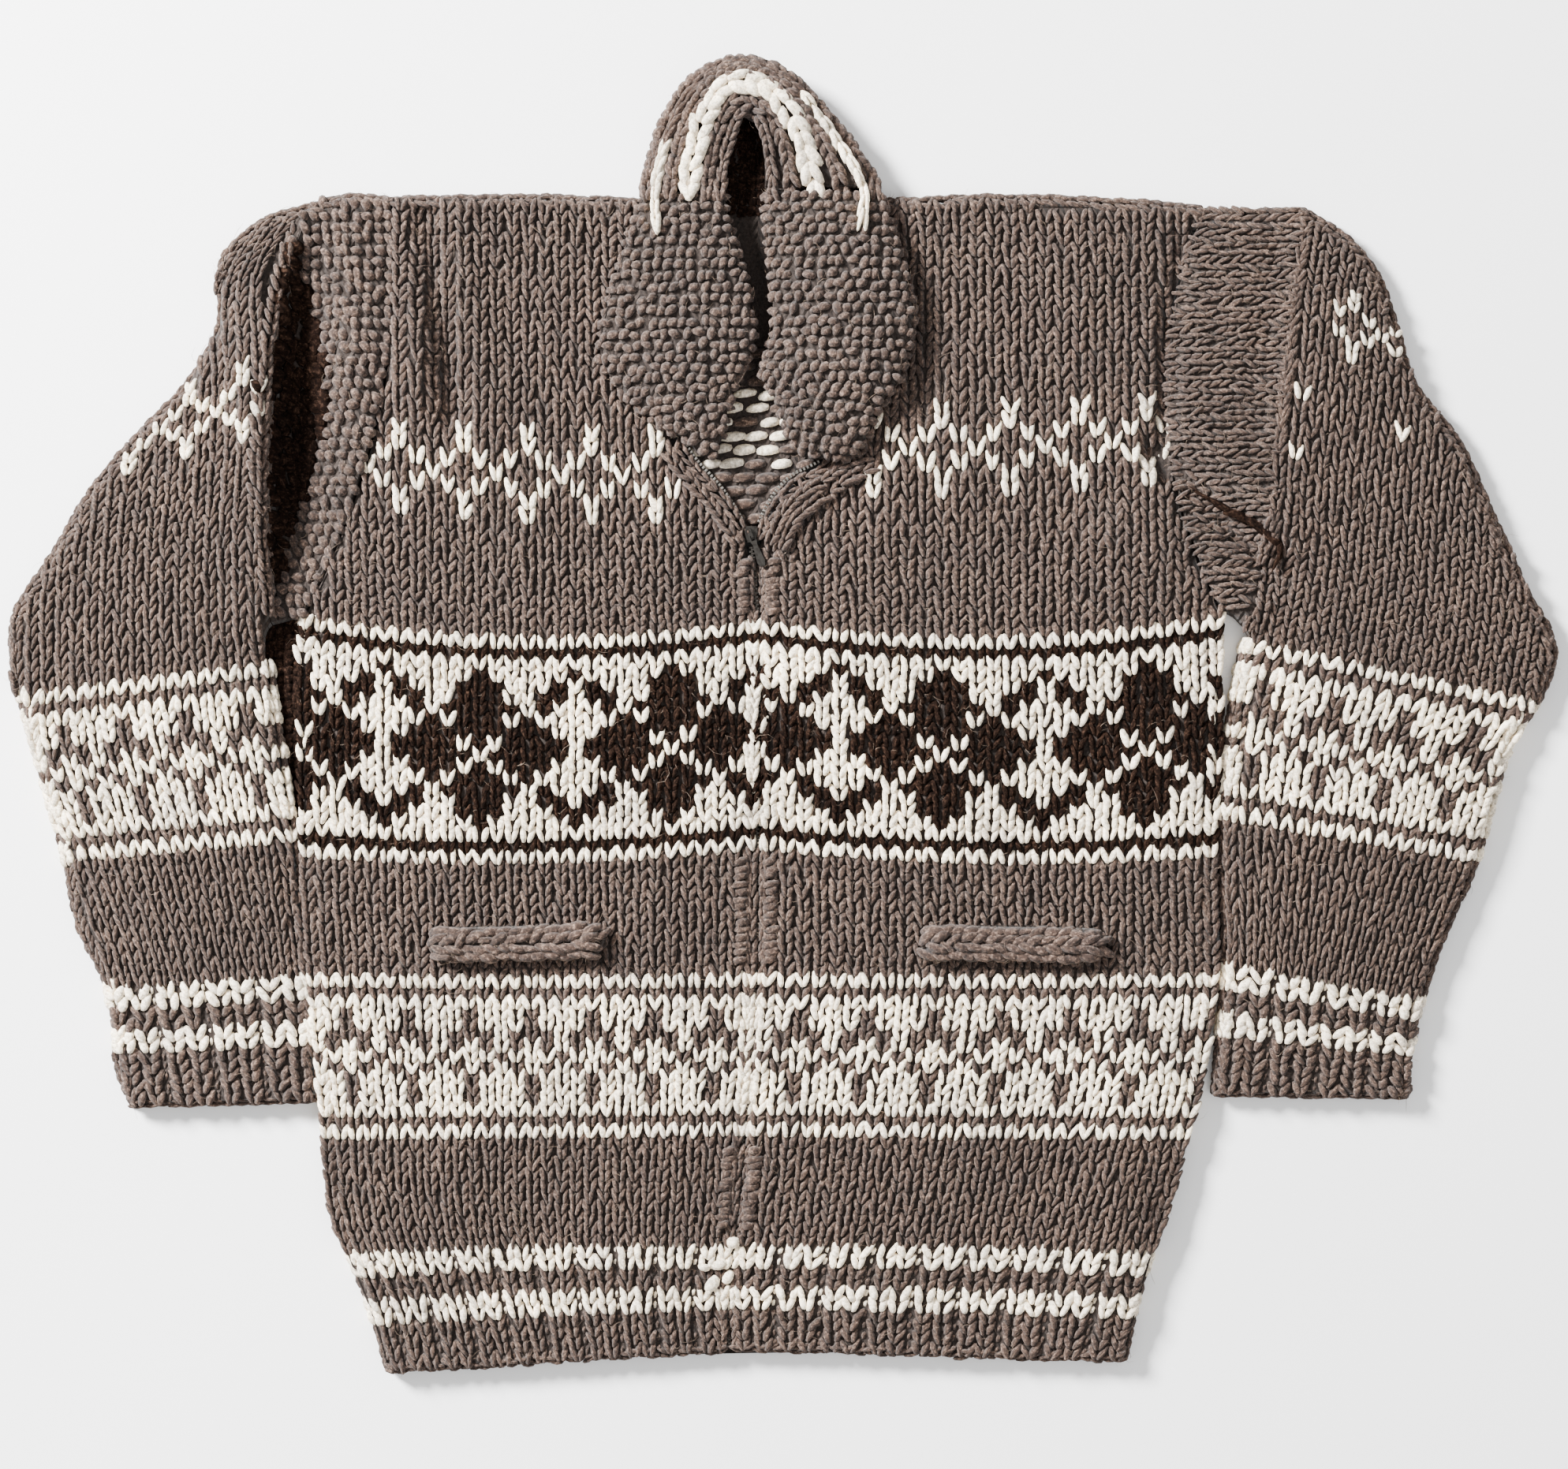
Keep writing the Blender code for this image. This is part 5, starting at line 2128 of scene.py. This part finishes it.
# Lines across the sleeves: row, inner x, inner y, outer x, outer y.
SLEEVE_ROWS_RIGHT = (
    (0, -286, -233, -398, -236),
    (11, -291, -157, -413, -165),
    (22, -300, -75, -438, -87),
    (37, -315, 33, -465, 14),
    (46, -316, 101, -441, 79),
    (56, -312, 169, -397, 149),
    (62, -312, 212, -359, 197),
    (70, -313, 270, -343, 260),
    (78, -290, 312, -318, 306),
)
SLEEVE_ROWS_LEFT = (
    (0, 264, -229, 380, -231),
    (11, 270, -150, 389, -172),
    (22, 268, -61, 424, -88),
    (30, 273, -4, 441, -36),
    (37, 283, 47, 462, 9),
    (46, 292, 101, 438, 67),
    (56, 298, 169, 414, 135),
    (62, 303, 212, 397, 188),
    (70, 310, 270, 363, 246),
    (78, 316, 309, 332, 306),
)
# Where the fold at the shoulder lies: y, x.
FOLD_RIGHT = ((56, -311), (110, -314), (188, -312), (260, -305), (315, -290))
FOLD_LEFT = ((47, 281), (106, 293), (188, 302), (260, 310), (310, 318))
# Outlines of the sleeves' outer sides, from the cuff to the shoulder, and their peaks: x, y.
CAP_RIGHT = (
    (-398, -236), (-407, -208), (-407, -184), (-414, -161), (-430, -127), (-438, -87), (-449, -48),
    (-459, -10), (-468, 20), (-470, 56), (-443, 103), (-420, 141), (-391, 175), (-365, 202), (-344, 239),
    (-342, 279), (-318, 302), (-288, 312),
)
CAP_LEFT = (
    (380, -231), (381, -203), (389, -177), (396, -153), (409, -121), (424, -87), (435, -46), (445, -14),
    (461, 9), (471, 36), (451, 83), (431, 128), (412, 169), (386, 202), (373, 241), (362, 271), (342, 294),
    (318, 309),
)
# How far the painted shade in the deepest part of the right sleeve's fold reaches towards the body: y, reach.
PAINTED_SHADE_RIGHT = ((84, 5), (110, 16), (140, 26), (168, 32), (200, 33), (231, 28), (256, 18), (284, 4))
PEAK_RIGHT = ((-288, 312), (-262, 318), (-239, 316))
PEAK_LEFT = ((318, 309), (289, 308), (256, 309))
SHOULDER_RIGHT = ((-238, 316), (-150, 317), (-64, 314))
SHOULDER_LEFT = ((55, 314), (150, 317), (255, 311))
NECK_RIGHT = ((-24, 108), (-36, 128), (-47, 141), (-58, 153), (-66, 164))
NECK_LEFT = ((-12, 108), (-2, 128), (8, 138), (16, 144), (24, 148), (34, 156), (52, 164))
# Soft troughs and ridges: start, end, half width and rise.
CREASES_RIGHT = (
    Crease((-296, 62), (-212, 18), 9.0, -4.0),
    Crease((-300, 30), (-240, -6), 13.0, 3.0),
    Crease((-217, 306), (-200, 186), 9.0, -8.0),
    Crease((-238, 300), (-222, 200), 9.0, 4.0),
    Crease((-196, 300), (-178, 170), 13.0, 4.0),
    Crease((-120, 40), (-70, -110), 22.0, 2.0),
    Crease((-250, -200), (-240, -330), 18.0, 2.5),
)
CREASES_LEFT = (
    Crease((226, 160), (268, 112), 6.0, -8.0),
    Crease((240, 290), (230, 150), 7.0, -5.0),
    Crease((206, 112), (262, 72), 13.0, 5.0),
    Crease((70, 270), (84, 190), 12.0, -3.0),
    Crease((60, 120), (20, -60), 22.0, 2.0),
    Crease((216, -190), (196, -340), 18.0, 2.5),
)
SLEEVE_CREASES_RIGHT = (
    Crease((-294, 240), (-297, 110), 20.0, -9.0),
    Crease((-322, 270), (-322, 60), 12.0, 4.0),
    Crease((-262, 310), (-256, 160), 12.0, 3.0),
    Crease((-420, -40), (-350, -150), 16.0, 2.0),
)
SLEEVE_CREASES_LEFT = (
    Crease((240, 148), (299, 88), 7.0, -8.0),
    Crease((252, 180), (306, 116), 12.0, 5.0),
    Crease((240, 104), (284, 66), 11.0, 6.0),
    Crease((244, 290), (232, 160), 7.0, -4.0),
    Crease((320, 40), (300, -120), 16.0, 2.0),
    Crease((300, 290), (288, 180), 10.0, -3.0),
)
# Loops of the mend: x, y, length, width, slant.
MENDED = (
    (-30.5, -320.0, 9.0, 8.0, 10.0), (-39.0, -334.0, 11.0, 6.4, -14.0), (-48.0, -335.0, 8.0, 5.4, -10.0),
    (-33.5, -341.5, 9.5, 7.0, 55.0), (-42.5, -345.5, 13.0, 7.6, 58.0), (-31.0, -352.0, 8.0, 4.0, 80.0),
)
# Where the left sleeve dips under itself at the underarm.
TUCKS_LEFT = (
    Tuck(((250, 138), (262, 130.5), (274, 124), (286, 117), (296, 110), (302, 101), (299, 93)), 3.1, 2.0),
)
# Armhole seams: x and y at the underarm, x and y at the shoulder, bow.
ARMHOLE_RIGHT = (-292, 60, -238, 316, 20)
ARMHOLE_LEFT = (265, 65, 255, 310, -27)
# Lapels, from the back collar down: left x, left y, right x, right y.
LAPEL_RIGHT = (
    (-85, 318, -35, 318), (-91, 300, -33, 300), (-98, 280, -26, 280), (-108, 246, -19, 246),
    (-112, 227, -17, 227), (-107, 210, -24, 211), (-98, 197, -30, 199), (-79, 179, -35, 180),
    (-60, 168, -38, 165), (-52, 159, -42, 157),
)
LAPEL_LEFT = (
    (-11, 318, 59, 318), (-10, 300, 65, 300), (-8, 280, 72, 280), (-6, 246, 80, 246),
    (-7, 227, 77, 227), (-13, 208, 72, 206), (-4, 193, 58, 187), (1, 177, 52, 171),
    (6, 165, 45, 161), (12, 158, 36, 155),
)
# The back collar: outer x, outer y, free edge x, free edge y, height.
COLLAR_BACK = (
    (-84, 321, -35, 321, 12), (-80, 337, -33, 337, 14), (-69, 367, -27, 356, 16), (-50, 390, -24, 364, 18),
    (-23, 399, -21, 367, 19), (1, 390, -18, 364, 19), (23, 369, -14, 356, 19), (46, 340, -11, 336, 18),
    (58, 321, -11, 321, 17),
)
COLLAR_WALES = (
    CollarWale(0.03, 0.0, 8.0, 6.6),
    CollarWale(0.14, 0.02, 5.6, 9.0, True, 296.0, (0.21, 0.66), 1.2),
    CollarWale(0.32, 0.06, 9.0, 6.6),
    CollarWale(0.56, 0.14, 14.0, 9.6, True, 311.0, (2.0, 2.0), 1.2),
    CollarWale(0.77, 0.06, 8.6, 6.6),
    CollarWale(0.93, 0.0, 7.0, 6.2),
)
ZIP_LINE = (
    (-33, -384), (-34, -353), (-29.5, -314), (-22.5, -237), (-17.2, -162), (-16.2, -87), (-15.2, -20),
    (-15.2, 53), (-18.4, 96), (-19, 105.5),
)
TEETH_RIGHT = ((-24, 118.5), (-30, 129), (-40, 143), (-52, 156), (-63, 172))
TEETH_LEFT = ((-14.5, 118.5), (-9, 130), (-1, 141), (7, 148), (15, 152), (25, 157))


def main() -> None:
    """Build the cardigan, one sub-assembly after another."""
    logging.basicConfig(level=logging.INFO, format="%(name)s: %(message)s")
    cad_box = [corner.copy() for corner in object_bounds()]
    maker = StitchMesh(seed=11)
    lapels = ("lapel_right", "lapel_left")
    fronts = (
        Front(
            "front_right", RIGHT_BANDS, SIDE_RIGHT, OPENING_RIGHT, ROW_LINES, -1.0, lapels, 28.2, -0.44,
            SHOULDER_RIGHT, NECK_RIGHT, ((5.0, 14.0),), CREASES_RIGHT,
        ),
        Front(
            "front_left", LEFT_BANDS, SIDE_LEFT, OPENING_LEFT, ROW_LINES_LEFT, 1.0, lapels, 26.7, 0.02,
            SHOULDER_LEFT, NECK_LEFT, ((4.5, 15.0), (12.5, 16.0)), CREASES_LEFT,
        ),
    )
    mend = Mend("front_right", MENDED)
    for front in fronts:
        cloth = Shell(front.node, SHELL, (0.275, 0.70), ("back",), 0.178, creases=front.creases)
        extra = mend.build(maker) if front.node == mend.node else []
        cloth.build([*front.build(maker), *extra])
    sleeves = (
        Sleeve(
            "sleeve_right", SLEEVE_BANDS, SLEEVE_ROWS_RIGHT, FOLD_RIGHT, ARMHOLE_RIGHT, -1.0, CAP_RIGHT,
            PEAK_RIGHT, (0, 12), (), SLEEVE_CREASES_RIGHT, 3.0, Form.GARTER, PAINTED_SHADE_RIGHT,
            gap_fill=((-314.0, -74.0), (-294.0, 66.0)), cap_wales=35, row_width=6.4,
        ),
        Sleeve(
            "sleeve_left", SLEEVE_BANDS_LEFT, SLEEVE_ROWS_LEFT, FOLD_LEFT, ARMHOLE_LEFT, 1.0, CAP_LEFT,
            PEAK_LEFT, (3, 7), ((1, 60), (1, 55), (8, 59)), SLEEVE_CREASES_LEFT, 1.0, tucks=TUCKS_LEFT,
            cap_wales=29, row_width=6.6,
        ),
    )
    for sleeve in sleeves:
        cloth = Shell(sleeve.node, SHELL, (0.34, 0.55), (), 0.15, creases=sleeve.creases)
        cloth.build(sleeve.build(maker))
    back = BackPanel("back")
    Shell(back.node, SHELL, (0.56, 0.70), (), 0.36).build(back.build(maker))
    for lapel in (Lapel("lapel_right", LAPEL_RIGHT), Lapel("lapel_left", LAPEL_LEFT)):
        front_name = lapel.node.replace("lapel", "front")
        Shell(lapel.node, COLLAR_SHELL, (0.18, 0.16), (front_name,), 0.024).build(lapel.build(maker))
    collar = BackCollar("collar_back", COLLAR_BACK, COLLAR_WALES)
    Shell(collar.node, COLLAR_SHELL, (0.12, 0.22), ("back",)).build(collar.build(maker))
    for welt in (
        Welt("pocket_welt_right", (-214, -139, -107, -136)),
        Welt("pocket_welt_left", (84, -137, 197, -139)),
    ):
        front_name = welt.node.replace("pocket_welt", "front")
        Shell(welt.node, WELT_SHELL, (0.11, 0.026), (front_name,)).build(welt.build(maker))
    ZipTeeth("zip_chain", ZIP_LINE, ((-1.8, 0.7, 0.0), (-0.7, 1.8, 1.2)), CHAIN_METAL_IN_PAINTED_SHADE).build()
    ZipTeeth("zip_teeth_right", TEETH_RIGHT, ((-1.1, 1.1, 0.0),), TEETH_METAL).build()
    ZipTeeth("zip_teeth_left", TEETH_LEFT, ((-1.1, 1.1, 0.0),), TEETH_METAL).build()
    for node in ("zip_tape_right", "zip_tape_left"):
        dress(node, TAPE)
    for node in ("zip_slider", "zip_pull_tab"):
        dress(node, DARK_METAL)
    Studio().build()


if __name__ == "__main__":
    main()
